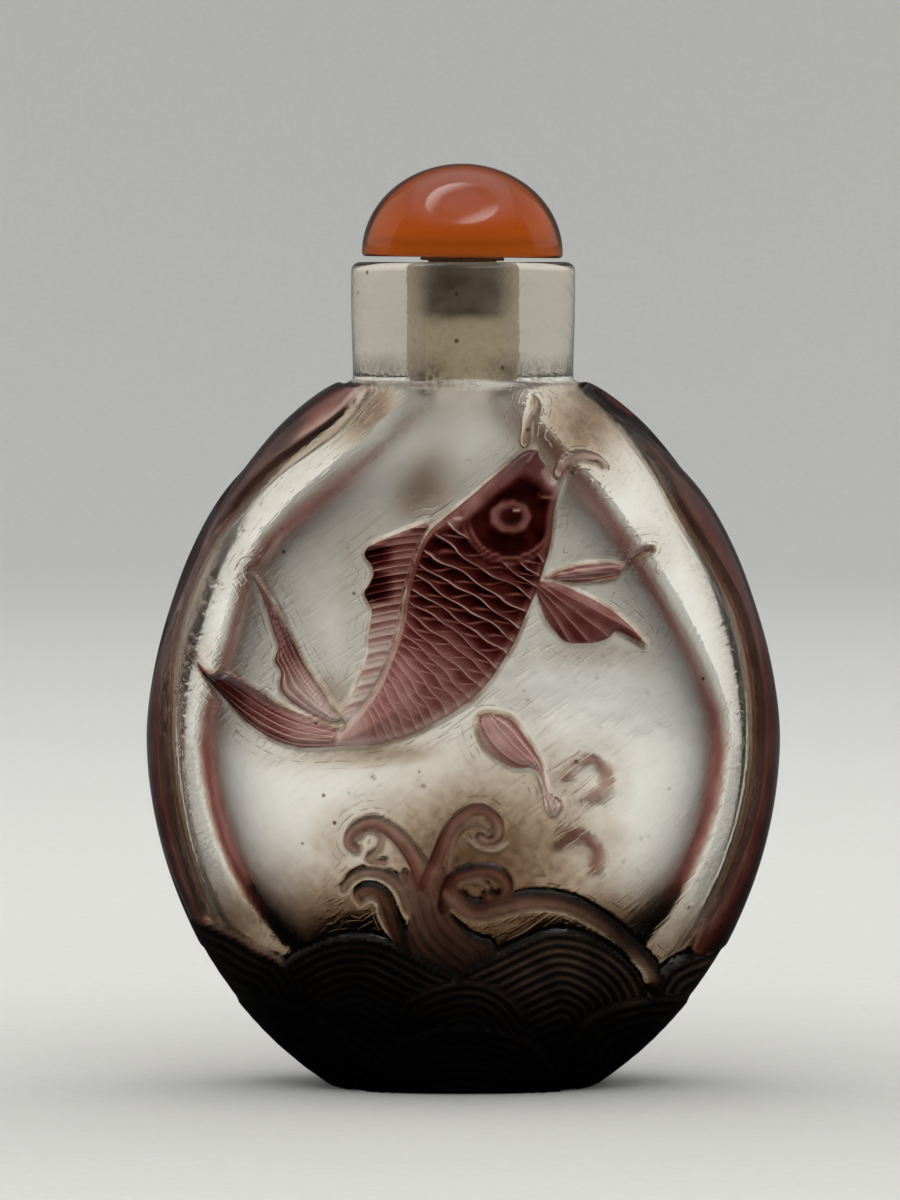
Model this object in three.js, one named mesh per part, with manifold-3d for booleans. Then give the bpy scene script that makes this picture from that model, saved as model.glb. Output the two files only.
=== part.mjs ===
// Snuff bottle in overlay glass: a flattened clear flask, hollow, cased in amethyst glass that is carved
// into side panels, a sea with surf and a leaping carp, and closed by a domed stopper on a cork.
// Millimetres, +Z up, the carp's face towards -Y, origin at the centre of the foot.
import * as THREE from "three";
import { mergeVertices } from "three/addons/utils/BufferGeometryUtils.js";
import Module from "manifold-3d";

const wasm = await Module();
wasm.setup();

// Driving dimensions of the flask
const BODY_WIDTH = 48.7; // over the casing of both side panels
const CLEAR_DEPTH = 22.8; // front to back over the clear glass
const SHOULDER_DEPTH = 18.6;
const FOOT_DEPTH = 13.2;
const LIP_HEIGHT = 62.6;
const SHOULDER_HEIGHT = 53.4;
const WIDEST_HEIGHT = 26.4;
const UPPER_RISE = 29.6; // half-height of the outline's upper curve
const LOWER_DROP = 29.0; // half-height of the outline's lower curve
const UPPER_POWER = 1.87; // 2 would be an ellipse in the front view
const LOWER_POWER = 1.9;
const DEPTH_POWER = 2.3; // how late the faces turn in towards shoulder and foot
const SECTION_POWER = 2.2; // 2 would be an ellipse in the plan view
const NECK_RADIUS = 8.5;
const NECK_WAIST = 8.35; // radius where the neck meets the shoulder
const LIP_ROUND = 0.8;
const LEDGE = 0.3; // least width of the shoulder outside the neck

// Driving dimensions of the hollow
const BORE_RADIUS = 3.05;
const HOLLOW_WIDTH = 37.4;
const HOLLOW_DEPTH = 12.8;
const HOLLOW_MIDDLE = 27.0; // height where it is widest
const HOLLOW_RISE = 25.2;
const HOLLOW_DROP = 21.0;
const HOLLOW_SHOULDERS = 1.5; // power of its upper outline: 1 would be straight, 2 an ellipse

// Driving dimensions of the casing: heights above the clear glass
const CASING = 0.9; // side panels
const SEA_RAISE = 0.6;
const SWELL_RAISES = [0.9, 1.1, 1.3]; // far, middle and near row of swells
const SWELL_GROOVE = 0.35; // depth and width of the lines on a swell
const FIN_RAISE = 0.65;
const CARP_RAISE = 1.0;
const HEAD_RAISE = 1.25;
const EYE_RAISE = 1.5;
const SCALE_CUT = 0.35;
const SURF_RAISE = 0.95;

// Window that is carved clear on both faces, seen from the front
const WINDOW_WIDTH = 45.0;
const WINDOW_MIDDLE = 29.0;
const WINDOW_RISE = 27.0;
const WINDOW_DROP = 27.5;
const WINDOW_UPPER_POWER = 1.5;
const WINDOW_LOWER_POWER = 2.0;

// Driving dimensions of the stopper
const DOME_RADIUS = 7.63;
const DOME_HEIGHT = 7.1;
const DOME_EDGE = 0.3; // rounding of the dome's lower edge
const CORK_RADIUS = 2.7;
const CORK_LENGTH = 4.4;
const CORK_HEAD_RADIUS = 3.3;
const CORK_HEAD = 0.3;
const STOPPER_GAP = 0.1; // between the lip and the cork's head
const STOPPER_LEAN = THREE.MathUtils.degToRad(0.6);

// Fineness of the solids
const FLASK_SIDES = 32;
const HOLLOW_SIDES = 20;
const ROUND_SIDES = 24;
const HALF_BODY_ROWS = 6; // rows below the widest height, and again above it
const REACH = 20; // how far a motif's prism runs out
const PRISM_START = 0.7; // clear of the middle plane, so that prisms of two faces never meet
const FACES = { front: 0, right: Math.PI / 2, back: Math.PI, left: -Math.PI / 2 };

// Solids from closed geometries, and back

function solid(geometry) {
  geometry.deleteAttribute("normal");
  geometry.deleteAttribute("uv");
  const merged = mergeVertices(geometry, 1e-4);
  const vertProperties = merged.attributes.position.array;
  const triVerts = new Uint32Array(merged.index.array);
  return new wasm.Manifold(new wasm.Mesh({ numProp: 3, vertProperties, triVerts }));
}

function joined(solids) {
  return solids.reduce((whole, next) => whole.add(next));
}

function geometryOf(manifold) {
  const mesh = manifold.getMesh();
  const geometry = new THREE.BufferGeometry();
  geometry.setAttribute("position", new THREE.BufferAttribute(mesh.vertProperties, 3));
  geometry.setIndex(new THREE.BufferAttribute(mesh.triVerts, 1));
  geometry.computeVertexNormals();
  return geometry;
}

// The flask's form: half its width and half its depth at a height, with glass raised above the clear surface

function superellipse(share, power) {
  return Math.max(0, 1 - share ** power) ** (1 / power);
}

function halfWidth(z, raise) {
  const above = z > WIDEST_HEIGHT;
  const share = Math.abs(z - WIDEST_HEIGHT) / (above ? UPPER_RISE : LOWER_DROP);
  const cased = (BODY_WIDTH / 2) * superellipse(share, above ? UPPER_POWER : LOWER_POWER);
  return Math.max(cased - CASING, NECK_RADIUS + LEDGE) + raise;
}

function halfDepth(z, raise) {
  const above = z > WIDEST_HEIGHT;
  const span = above ? SHOULDER_HEIGHT - WIDEST_HEIGHT : WIDEST_HEIGHT;
  const fall = CLEAR_DEPTH - (above ? SHOULDER_DEPTH : FOOT_DEPTH);
  return (CLEAR_DEPTH - fall * (Math.abs(z - WIDEST_HEIGHT) / span) ** DEPTH_POWER) / 2 + raise;
}

// A lathe turned from rows of height, width and depth, then flattened ring by ring to a superellipse

function flattenedLathe(rows, sides, power) {
  const lathe = new THREE.LatheGeometry(
    rows.map((row) => new THREE.Vector2(row.width, row.z)),
    sides,
  );
  lathe.rotateX(Math.PI / 2);
  const position = lathe.attributes.position;
  for (let i = 0; i < position.count; i++) {
    const row = rows[i % rows.length];
    if (row.width === 0) continue;
    const across = position.getX(i) / row.width;
    const deep = position.getY(i) / row.width;
    const x = row.width * Math.sign(across) * Math.abs(across) ** (2 / power);
    const y = row.depth * Math.sign(deep) * Math.abs(deep) ** (2 / power);
    position.setXY(i, x, y);
  }
  return solid(lathe);
}

function bodyRows(raise) {
  const rows = [];
  for (let k = -HALF_BODY_ROWS; k <= HALF_BODY_ROWS; k++) {
    const u = Math.abs(k) / HALF_BODY_ROWS;
    const end = k > 0 ? SHOULDER_HEIGHT : 0;
    const closing = THREE.MathUtils.lerp(u, Math.sin((Math.PI * u) / 2), 0.5); // rows lie closer at the ends
    const z = THREE.MathUtils.lerp(WIDEST_HEIGHT, end, closing);
    rows.push({ z, width: halfWidth(z, raise), depth: halfDepth(z, raise) });
  }
  return rows;
}

function pole(z) {
  return { z, width: 0, depth: 0 };
}

// The clear body with glass raised evenly all over it, as the casing lay before it was carved

function casedBody(raise) {
  return flattenedLathe([pole(0), ...bodyRows(raise), pole(SHOULDER_HEIGHT)], FLASK_SIDES, SECTION_POWER);
}

// The round neck, from inside the body to its softly rounded lip

function neck() {
  const profile = new THREE.Path();
  profile.moveTo(0, SHOULDER_HEIGHT - 3);
  profile.lineTo(NECK_WAIST, SHOULDER_HEIGHT - 3);
  profile.lineTo(NECK_WAIST, SHOULDER_HEIGHT);
  profile.lineTo(NECK_RADIUS, SHOULDER_HEIGHT + 3);
  profile.lineTo(NECK_RADIUS, LIP_HEIGHT - LIP_ROUND);
  profile.absarc(NECK_RADIUS - LIP_ROUND, LIP_HEIGHT - LIP_ROUND, LIP_ROUND, 0, Math.PI / 2);
  profile.lineTo(0, LIP_HEIGHT);
  return solid(new THREE.LatheGeometry(profile.getPoints(2), ROUND_SIDES).rotateX(Math.PI / 2));
}

// The hollow: a flattened egg with sloping shoulders, taken up through the bore and past the lip so that it opens

function hollow() {
  const rows = [pole(HOLLOW_MIDDLE - HOLLOW_DROP)];
  const steps = 10;
  for (let k = 1; k < steps; k++) {
    const share = -Math.cos((Math.PI * k) / steps);
    const above = share > 0;
    const width = (HOLLOW_WIDTH / 2) * superellipse(Math.abs(share), above ? HOLLOW_SHOULDERS : 2);
    const depth = (HOLLOW_DEPTH / 2) * superellipse(Math.abs(share), 2);
    if (above && depth < BORE_RADIUS) break;
    rows.push({ z: HOLLOW_MIDDLE + (above ? HOLLOW_RISE : HOLLOW_DROP) * share, width, depth });
  }
  rows.push({ z: HOLLOW_MIDDLE + HOLLOW_RISE, width: BORE_RADIUS, depth: BORE_RADIUS });
  rows.push({ z: LIP_HEIGHT + 1, width: BORE_RADIUS, depth: BORE_RADIUS });
  rows.push(pole(LIP_HEIGHT + 1));
  return flattenedLathe(rows, HOLLOW_SIDES, 2);
}

// Motifs: a flat shape, drawn as seen on its face, becomes a prism through that face of the bottle

function prism(shape, face) {
  const geometry = new THREE.ExtrudeGeometry(shape, { depth: REACH, bevelEnabled: false, curveSegments: 5 });
  return solid(geometry.translate(0, 0, PRISM_START).rotateX(Math.PI / 2).rotateZ(FACES[face]));
}

function prisms(shapes, face) {
  return joined(shapes.map((shape) => prism(shape, face)));
}

// A band of changing width along a curve, pointed or blunt as its half-width says

function ribbon(curve, steps, halfWidthAt) {
  const left = [];
  const right = [];
  for (let k = 0; k <= steps; k++) {
    const u = k / steps;
    const point = curve.getPointAt(u);
    const along = curve.getTangentAt(u);
    const aside = new THREE.Vector2(-along.y, along.x).multiplyScalar(halfWidthAt(u));
    left.push(point.clone().add(aside));
    right.push(point.clone().sub(aside));
  }
  return new THREE.Shape([...left, ...right.reverse()]);
}

function spline(points) {
  return new THREE.SplineCurve(points.map(([x, z]) => new THREE.Vector2(x, z)));
}

// A leaf of a fin: widest in the middle, pointed at its tip

function leaf(points, halfWidthMost) {
  return ribbon(spline(points), 6, (u) => 0.06 + halfWidthMost * Math.sin(Math.PI * u) ** 0.8);
}

// The carp, from tail root to snout along its bent spine

const CARP_SPINE = spline([
  [-9.6, 26.1],
  [-4.0, 28.9],
  [0.5, 35.3],
  [3.6, 42.2],
  [6.7, 47.2],
]);
const CARP_GIRTH = 4.0;
const CARP_ENDS = 0.55; // half-width at tail root and snout
const GILL = 0.73; // place of the gill along the spine

function carpHalfWidth(s) {
  return CARP_ENDS + CARP_GIRTH * Math.sin(Math.PI * s ** 1.25) ** 0.75;
}

// A point of the carp: s runs from tail to snout, t from the belly at -1 to the back at +1

function carpPoint(s, t) {
  const along = CARP_SPINE.getTangentAt(s);
  const aside = new THREE.Vector2(-along.y, along.x).multiplyScalar(carpHalfWidth(s) * t);
  return CARP_SPINE.getPointAt(s).add(aside);
}

function carpOutline(from, bulge) {
  const points = [];
  const steps = 11;
  for (let k = 0; k <= steps; k++) points.push(carpPoint(from + ((1 - from) * k) / steps, 1));
  for (let k = steps; k >= 0; k--) points.push(carpPoint(from + ((1 - from) * k) / steps, -1));
  for (let t = -0.6; t < 0.7; t += 0.4) points.push(carpPoint(from - bulge * (1 - t * t), t));
  return new THREE.Shape(points);
}

// Curved lines across the body part its rows of scales

function scaleLines() {
  const lines = [];
  const count = 8;
  const lean = -0.06; // the lines reach further back on the carp's back than on its belly
  for (let k = 0; k < count; k++) {
    const start = 0.16 + (0.48 * k) / (count - 1);
    const across = [-0.86, -0.3, 0.3, 0.86];
    const curve = new THREE.SplineCurve(across.map((t) => carpPoint(start + lean * t, t)));
    lines.push(ribbon(curve, 3, () => 0.16));
  }
  return lines;
}

// The back fin stands on the carp's back and falls away towards the tail

const DORSAL_FROM = 0.1;
const DORSAL_TO = 0.7;
const DORSAL_HEIGHT = 4.7;

function dorsalPoint(u, reach) {
  const s = DORSAL_FROM + (DORSAL_TO - DORSAL_FROM) * u;
  const height = 0.7 + DORSAL_HEIGHT * u ** 1.5;
  return carpPoint(s, 0.9 + (reach * height) / carpHalfWidth(s));
}

function dorsalFin() {
  const steps = 8;
  const points = [];
  for (let k = 0; k <= steps; k++) points.push(dorsalPoint(k / steps, 0));
  for (let k = steps; k >= 0; k--) points.push(dorsalPoint(k / steps, 1));
  return new THREE.Shape(points);
}

function dorsalRays() {
  const rays = [];
  for (let u = 0.3; u < 1; u += 0.14) {
    const ray = new THREE.LineCurve(dorsalPoint(u, 0.25), dorsalPoint(u, 1.1));
    rays.push(ribbon(ray, 1, () => 0.15));
  }
  return rays;
}

// A fan of rays that opens from its root: the breast fin below the gill

const BREAST_FIN = { root: [5.7, 38.2], from: -0.45, to: -1.35, long: 8.6, short: 4.6 };

function fanPoint(fan, u, reach) {
  const angle = THREE.MathUtils.lerp(fan.from, fan.to, u);
  const radius = reach * THREE.MathUtils.lerp(fan.long, fan.short, Math.sqrt(u));
  const [x, z] = fan.root;
  return new THREE.Vector2(x + radius * Math.cos(angle), z + radius * Math.sin(angle));
}

function fanShape(fan) {
  const points = [fanPoint(fan, 0, 0)];
  for (let u = 0; u <= 1; u += 0.125) points.push(fanPoint(fan, u, 1));
  return new THREE.Shape(points.reverse());
}

function fanRays(fan) {
  return [0.3, 0.55, 0.8].map((u) => {
    const ray = new THREE.LineCurve(fanPoint(fan, u, 0.3), fanPoint(fan, u, 1.05));
    return ribbon(ray, 1, () => 0.15);
  });
}

const TAIL_LOBES = [
  { points: [[-8.6, 26.0], [-13.5, 26.6], [-17.8, 29.4], [-21.0, 33.2]], half: 1.2 },
  { points: [[-9.4, 26.6], [-12.4, 30.0], [-14.6, 34.4], [-16.2, 38.8]], half: 0.95 },
];
const SIDE_FIN = { points: [[6.0, 38.4], [10.0, 39.2], [14.6, 40.8]], half: 0.75 };
const BELLY_FIN = { points: [[1.2, 29.0], [3.2, 26.6], [6.0, 23.6]], half: 1.35 };
const BARBELS = [
  { points: [[7.2, 45.2], [8.0, 46.9], [9.4, 47.6], [10.7, 47.0]], half: 0.3 },
  { points: [[4.6, 49.0], [4.5, 50.6], [5.2, 52.2]], half: 0.3 },
];
const EYE = { x: 3.65, z: 43.3, radius: 1.4, ring: 0.75, pupil: 0.45 };

function finShapes() {
  const leaves = [...TAIL_LOBES, SIDE_FIN, BELLY_FIN, ...BARBELS];
  return [...leaves.map((fin) => leaf(fin.points, fin.half)), fanShape(BREAST_FIN), dorsalFin()];
}

function disc(x, z, radius) {
  return new THREE.Shape().absarc(x, z, radius, 0, 2 * Math.PI);
}

function ring(x, z, outer, inner) {
  const shape = disc(x, z, outer);
  shape.holes.push(new THREE.Path().absarc(x, z, inner, 0, 2 * Math.PI, true));
  return shape;
}

// Surf: a stem that rises out of the sea and rolls up in a spiral, to the right for turn 1, to the left for -1

const SPIRAL_SWEEP = 4.6; // angle that a curl rolls through
const SPIRAL_START = 2.5; // angle at which a right-hand curl begins, above its centre's left

function surfCurl({ root, centre, radius, turn, stem }) {
  const points = [];
  for (let k = 0; k <= 9; k++) {
    const u = k / 9;
    const angle = SPIRAL_START - SPIRAL_SWEEP * u;
    const r = radius * (1.12 - 0.72 * u);
    points.push([centre[0] + turn * r * Math.cos(angle), centre[1] + r * Math.sin(angle)]);
  }
  const curve = spline([root, stem, ...points]);
  return ribbon(curve, 13, (u) => THREE.MathUtils.lerp(0.85, 0.22, u));
}

const FRONT_SURF = [
  { root: [-1.6, 10.4], stem: [-3.0, 16.0], centre: [-7.5, 19.0], radius: 1.6, turn: -1 },
  { root: [-1.8, 10.4], stem: [-2.2, 15.8], centre: [1.7, 19.6], radius: 1.75, turn: 1 },
  { root: [-1.8, 10.2], stem: [-4.4, 12.4], centre: [-7.2, 14.2], radius: 1.25, turn: -1 },
  { root: [0.5, 10.2], stem: [-1.6, 13.2], centre: [2.0, 15.0], radius: 1.5, turn: 1 },
];
const BACK_SURF = [
  { root: [-4.2, 10.4], stem: [-5.0, 18.0], centre: [-9.4, 23.9], radius: 1.6, turn: -1 },
  { root: [-4.2, 10.4], stem: [-5.0, 14.5], centre: [-8.6, 19.0], radius: 1.5, turn: -1 },
];
const CREST = { points: [[0.4, 12.9], [3.0, 12.3], [8.9, 13.7], [12.2, 12.0], [15.0, 8.0]], half: 0.75 };

// The sea: overlapping round swells in three rows, each row nearer and higher, with lines that follow the crest

const SWELLS = {
  front: [
    [{ x: -8.4, top: 11.4, radius: 7.2 }, { x: 7.6, top: 11.7, radius: 7.2 }],
    [{ x: -15.6, top: 8.0, radius: 6.4 }, { x: 0, top: 7.9, radius: 6.4 }, { x: 15.2, top: 7.6, radius: 6.4 }],
    [{ x: -8.0, top: 4.0, radius: 6.0 }, { x: 8.0, top: 4.0, radius: 6.0 }],
  ],
  back: [
    [{ x: -8.0, top: 11.4, radius: 7.2 }, { x: 8.0, top: 11.4, radius: 7.2 }],
    [{ x: -15.4, top: 7.8, radius: 6.4 }, { x: 0, top: 7.8, radius: 6.4 }, { x: 15.4, top: 7.8, radius: 6.4 }],
  ],
  left: [[{ x: 0, top: 12.8, radius: 7.4 }]],
  right: [[{ x: 0, top: 11.6, radius: 7.4 }]],
};
const SWELL_LINES = [1.6]; // how far each line lies inside the swell's edge

// A swell is an arch: a half disc on a block that runs down into the foot

function swellArch({ x, top, radius }) {
  const middle = top - radius;
  const shape = new THREE.Shape();
  shape.moveTo(x - radius, Math.min(middle, 0) - 1);
  shape.lineTo(x + radius, Math.min(middle, 0) - 1);
  shape.absarc(x, middle, radius, 0, Math.PI);
  return shape;
}

// The upper half of a line on a swell, as a narrow half ring

function swellLine({ x, top, radius }, inset) {
  const shape = new THREE.Shape();
  shape.absarc(x, top - radius, radius - inset, 0, Math.PI);
  shape.absarc(x, top - radius, radius - inset - SWELL_GROOVE, Math.PI, 0, true);
  return shape;
}

function withSwells(body, face) {
  return SWELLS[face].reduce((sea, row, index) => {
    const raise = SWELL_RAISES[index];
    const swells = prisms(row.map(swellArch), face).intersect(casedBody(raise));
    const shapes = row.flatMap((swell) => SWELL_LINES.map((inset) => swellLine(swell, inset)));
    const lines = prisms(shapes, face).subtract(casedBody(raise - SWELL_GROOVE));
    return sea.add(swells).subtract(lines);
  }, body);
}

// Everything outside the window keeps its casing, from the shoulder down to the sea

function windowOutline() {
  const points = [];
  const steps = 40;
  for (let k = 0; k < steps; k++) {
    const angle = (2 * Math.PI * k) / steps;
    const power = Math.sin(angle) > 0 ? WINDOW_UPPER_POWER : WINDOW_LOWER_POWER;
    const rise = Math.sin(angle) > 0 ? WINDOW_RISE : WINDOW_DROP;
    const across = Math.sign(Math.cos(angle)) * Math.abs(Math.cos(angle)) ** (2 / power);
    const up = Math.sign(Math.sin(angle)) * Math.abs(Math.sin(angle)) ** (2 / power);
    points.push(new THREE.Vector2((across * WINDOW_WIDTH) / 2, WINDOW_MIDDLE + up * rise));
  }
  return new THREE.Shape(points);
}

function sidePanels() {
  const window = joined(["front", "back"].map((face) => prism(windowOutline(), face)));
  return casedBody(CASING).subtract(window);
}

function sea() {
  const level = 7;
  const slab = new THREE.BoxGeometry(2 * REACH + BODY_WIDTH, 2 * REACH, level);
  return casedBody(SEA_RAISE).intersect(solid(slab.translate(0, 0, level / 2)));
}

function raised(shapes, face, raise) {
  return prisms(shapes, face).intersect(casedBody(raise));
}

function carp() {
  const fins = raised(finShapes(), "front", FIN_RAISE);
  const rays = prisms([...dorsalRays(), ...fanRays(BREAST_FIN)], "front");
  const body = raised([carpOutline(0, 0)], "front", CARP_RAISE);
  const scales = prisms(scaleLines(), "front").subtract(casedBody(CARP_RAISE - SCALE_CUT));
  const head = raised([carpOutline(GILL, 0.05)], "front", HEAD_RAISE);
  const eyeShapes = [ring(EYE.x, EYE.z, EYE.radius, EYE.ring), disc(EYE.x, EYE.z, EYE.pupil)];
  const eye = raised(eyeShapes, "front", EYE_RAISE);
  return joined([fins.subtract(rays.subtract(casedBody(FIN_RAISE / 2))), body.subtract(scales), head, eye]);
}

function surf() {
  const crest = ribbon(spline(CREST.points), 12, () => CREST.half);
  const front = raised([...FRONT_SURF.map(surfCurl), crest], "front", SURF_RAISE);
  const back = raised(BACK_SURF.map(surfCurl), "back", SURF_RAISE);
  return front.add(back);
}

function bottle() {
  const plain = joined([casedBody(0), neck(), sidePanels(), sea(), surf()]);
  const carved = Object.keys(SWELLS).reduce(withSwells, plain);
  const material = new THREE.MeshStandardMaterial({ color: 0xc9c4bb, roughness: 0.15, metalness: 0 });
  const mesh = new THREE.Mesh(geometryOf(carved.add(carp()).subtract(hollow())), material);
  mesh.name = "bottle";
  return mesh;
}

function stopperDome() {
  const profile = new THREE.Path();
  profile.moveTo(0, 0);
  profile.lineTo(DOME_RADIUS - DOME_EDGE, 0);
  profile.lineTo(DOME_RADIUS, DOME_EDGE);
  profile.absellipse(0, DOME_EDGE, DOME_RADIUS, DOME_HEIGHT - DOME_EDGE, 0, Math.PI / 2);
  const dome = new THREE.LatheGeometry(profile.getPoints(5), ROUND_SIDES).rotateX(Math.PI / 2);
  const material = new THREE.MeshStandardMaterial({ color: 0xb5491c, roughness: 0.1, metalness: 0 });
  const mesh = new THREE.Mesh(geometryOf(solid(dome)), material);
  mesh.name = "stopper_dome";
  mesh.position.z = CORK_HEAD;
  return mesh;
}

function stopperCork() {
  const profile = [
    new THREE.Vector2(0, -CORK_LENGTH),
    new THREE.Vector2(CORK_RADIUS - 0.4, -CORK_LENGTH),
    new THREE.Vector2(CORK_RADIUS, -CORK_LENGTH + 0.6),
    new THREE.Vector2(CORK_RADIUS, 0),
    new THREE.Vector2(CORK_HEAD_RADIUS, 0),
    new THREE.Vector2(CORK_HEAD_RADIUS, CORK_HEAD),
    new THREE.Vector2(0, CORK_HEAD),
  ];
  const cork = new THREE.LatheGeometry(profile, ROUND_SIDES).rotateX(Math.PI / 2);
  const material = new THREE.MeshStandardMaterial({ color: 0x3a2c20, roughness: 0.9, metalness: 0 });
  const mesh = new THREE.Mesh(geometryOf(solid(cork)), material);
  mesh.name = "stopper_cork";
  return mesh;
}

// The stopper leans a little in the bore, lower on the right

const stopper = new THREE.Group();
stopper.position.z = LIP_HEIGHT + STOPPER_GAP;
stopper.rotation.y = STOPPER_LEAN;
stopper.add(stopperDome(), stopperCork());

const snuffBottle = new THREE.Group();
snuffBottle.add(bottle(), stopper);

export default snuffBottle;
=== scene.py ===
"""Snuff bottle in carved overlay glass, dressed on its solid model.

The flask is one closed surface, worked out with numpy on a grid of rows and columns: a clear, flattened,
hollow bottle, whose outside is raised wherever the amethyst casing was left standing. Lengths in the
functions are millimetres in the bottle's own frame: X across the broad face, -Y towards the carp, Z up.
"""

import math

import bpy
import numpy as np
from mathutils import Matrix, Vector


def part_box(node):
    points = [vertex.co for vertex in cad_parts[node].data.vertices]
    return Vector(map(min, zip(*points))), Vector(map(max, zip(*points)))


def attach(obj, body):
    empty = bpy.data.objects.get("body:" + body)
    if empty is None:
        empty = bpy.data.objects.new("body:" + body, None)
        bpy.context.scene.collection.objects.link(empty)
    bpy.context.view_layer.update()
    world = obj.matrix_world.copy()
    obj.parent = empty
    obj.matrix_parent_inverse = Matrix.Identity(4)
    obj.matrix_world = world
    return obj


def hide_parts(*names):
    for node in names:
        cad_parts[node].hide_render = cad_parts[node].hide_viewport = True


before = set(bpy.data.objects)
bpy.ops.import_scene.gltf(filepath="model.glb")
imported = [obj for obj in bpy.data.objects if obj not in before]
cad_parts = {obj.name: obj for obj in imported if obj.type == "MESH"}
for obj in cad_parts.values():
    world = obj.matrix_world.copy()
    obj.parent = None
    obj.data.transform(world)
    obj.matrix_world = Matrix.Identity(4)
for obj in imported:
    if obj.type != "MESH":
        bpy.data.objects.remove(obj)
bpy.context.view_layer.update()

bl_info = {
    "name": "Carved Overlay Glass Snuff Bottle",
    "version": (1, 0, 0),
    "blender": (4, 5, 0),
    "location": "View3D > Sidebar > Snuff Bottle",
    "description": "Builds a hollow glass snuff bottle with a carved amethyst casing and a domed stopper",
    "category": "Add Mesh",
}

MM = 0.001
BOTTLE_LOW, BOTTLE_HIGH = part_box("bottle")

# Where the picture is taken from
CAMERA = (-0.99, -550.0, 62.0)
AIM_HEIGHT = 36.9
LENS = 217.0

# Form of the clear flask
WIDEST_HEIGHT = 26.4
SHOULDER_HEIGHT = 53.4
UPPER_RISE = 29.6  # half-height of the outline's upper curve
LOWER_DROP = 29.0  # half-height of the outline's lower curve
UPPER_POWER = 1.87
LOWER_POWER = 1.9
DEPTH_POWER = 2.3
SECTION_POWER = 2.2
CLEAR_DEPTH = 22.8
SHOULDER_DEPTH = 18.6
FOOT_DEPTH = 13.2
FOOT_ROUND = 0.4
NECK_RADIUS = 8.5
NECK_WAIST = 8.35
LIP_ROUND = 0.7
LEDGE = 0.3

# Form of the hollow
BORE_RADIUS = 2.85
BORE_MOUTH = 0.3  # rounding where the bore meets the lip
HOLLOW_WIDTH = 37.4
HOLLOW_DEPTH = 12.8
HOLLOW_MIDDLE = 27.0
HOLLOW_RISE = 25.2
HOLLOW_DROP = 21.0
HOLLOW_UPPER_POWER = 1.36
LEFT_SHOULDER = 0.15
HOLLOW_SECTION = 2.4

# Edge of the window that is carved clear between the side panels
WINDOW = [
    (-6.0, 55.0), (-7.5, 53.0), (-9.3, 50.8), (-11.9, 48.8), (-14.6, 46.8), (-17.5, 43.7), (-19.8, 40.6),
    (-21.5, 36.6), (-22.4, 32.5), (-22.6, 28.0), (-22.4, 24.0), (-21.8, 20.0), (-20.9, 16.5), (-19.6, 13.2),
    (-17.0, 9.0), (-9.0, 4.0), (0.0, 2.5), (9.0, 4.0), (15.5, 8.5), (18.0, 12.0), (19.4, 14.2), (20.7, 17.2),
    (21.7, 20.5), (22.3, 24.0), (22.4, 27.7), (22.1, 31.5), (21.0, 35.9), (19.1, 39.7), (16.7, 43.5),
    (15.1, 46.6), (13.4, 49.0), (11.8, 51.2), (9.6, 53.6), (6.8, 56.0),
]

# The carp, with the tail at the lower left and the snout at the upper right
CARP = [
    (5.6, 48.3), (5.75, 47.7), (6.3, 47.0), (6.75, 46.0), (7.3, 46.5), (7.9, 46.9), (7.6, 45.8), (7.2, 44.6),
    (6.9, 43.6), (6.75, 42.0), (6.5, 40.5), (6.1, 39.2), (5.6, 37.6), (5.0, 36.2), (4.5, 35.0), (3.9, 33.6),
    (3.1, 32.3), (2.1, 30.8), (1.0, 29.6), (-0.4, 28.5), (-1.9, 27.6), (-3.5, 26.8), (-5.2, 26.2),
    (-7.0, 25.8), (-9.0, 25.7), (-9.6, 26.4), (-8.6, 27.6), (-7.4, 29.0), (-6.3, 30.8), (-5.6, 32.6),
    (-5.0, 34.2), (-4.6, 35.8), (-4.4, 37.2), (-4.0, 38.8), (-3.5, 40.4), (-2.9, 41.7), (-2.2, 42.5),
    (-1.0, 43.5), (0.5, 44.75), (2.0, 46.05), (3.4, 47.25), (4.5, 48.15),
]
CARP_SPINE = [
    (-9.4, 26.0), (-6.3, 27.4), (-2.7, 30.6), (-0.6, 34.1), (0.7, 37.3), (1.8, 40.3), (3.6, 43.4), (6.2, 47.2),
]
CARP_LENGTH = 27.1
SCALE_GAPS = (0.55, 1.45)  # gap between scale lines at the tail and at the snout
SCALE_SLANTS = (0.35, -0.22)  # how far along the spine the two sets of scale lines run for each mm across it
EYE = (3.5, 43.15)
EYE_RADII = (1.5, 1.25)
CHEEK_RADIUS = 2.95
GILL_RADIUS = 3.5

DORSAL_FIN = [
    (-2.6, 42.7), (-3.6, 42.5), (-5.0, 41.95), (-6.5, 41.3), (-7.3, 40.8), (-7.45, 40.2), (-7.0, 39.6),
    (-6.8, 38.9), (-7.1, 38.1), (-7.5, 37.5), (-7.3, 36.9), (-6.95, 36.2), (-7.0, 35.2), (-7.2, 34.2),
    (-7.2, 33.2), (-7.4, 32.2), (-7.7, 31.2), (-8.2, 30.1), (-8.8, 29.0), (-9.3, 28.2), (-8.6, 27.6),
    (-7.2, 29.4), (-6.0, 31.6), (-5.2, 33.6), (-4.7, 35.4), (-4.4, 37.2), (-3.9, 39.0), (-3.3, 40.8),
]
LOWER_TAIL = [
    (-20.9, 33.2), (-19.7, 31.9), (-18.9, 31.2), (-18.0, 31.4), (-16.8, 30.8), (-15.3, 29.9), (-14.2, 29.1),
    (-12.6, 28.4), (-10.8, 27.7), (-9.2, 27.0), (-8.2, 26.4), (-8.8, 25.8), (-11.5, 25.6), (-13.2, 25.8),
    (-15.0, 26.6), (-16.4, 27.6), (-17.5, 28.7), (-18.8, 30.1), (-20.0, 31.7),
]
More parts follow.
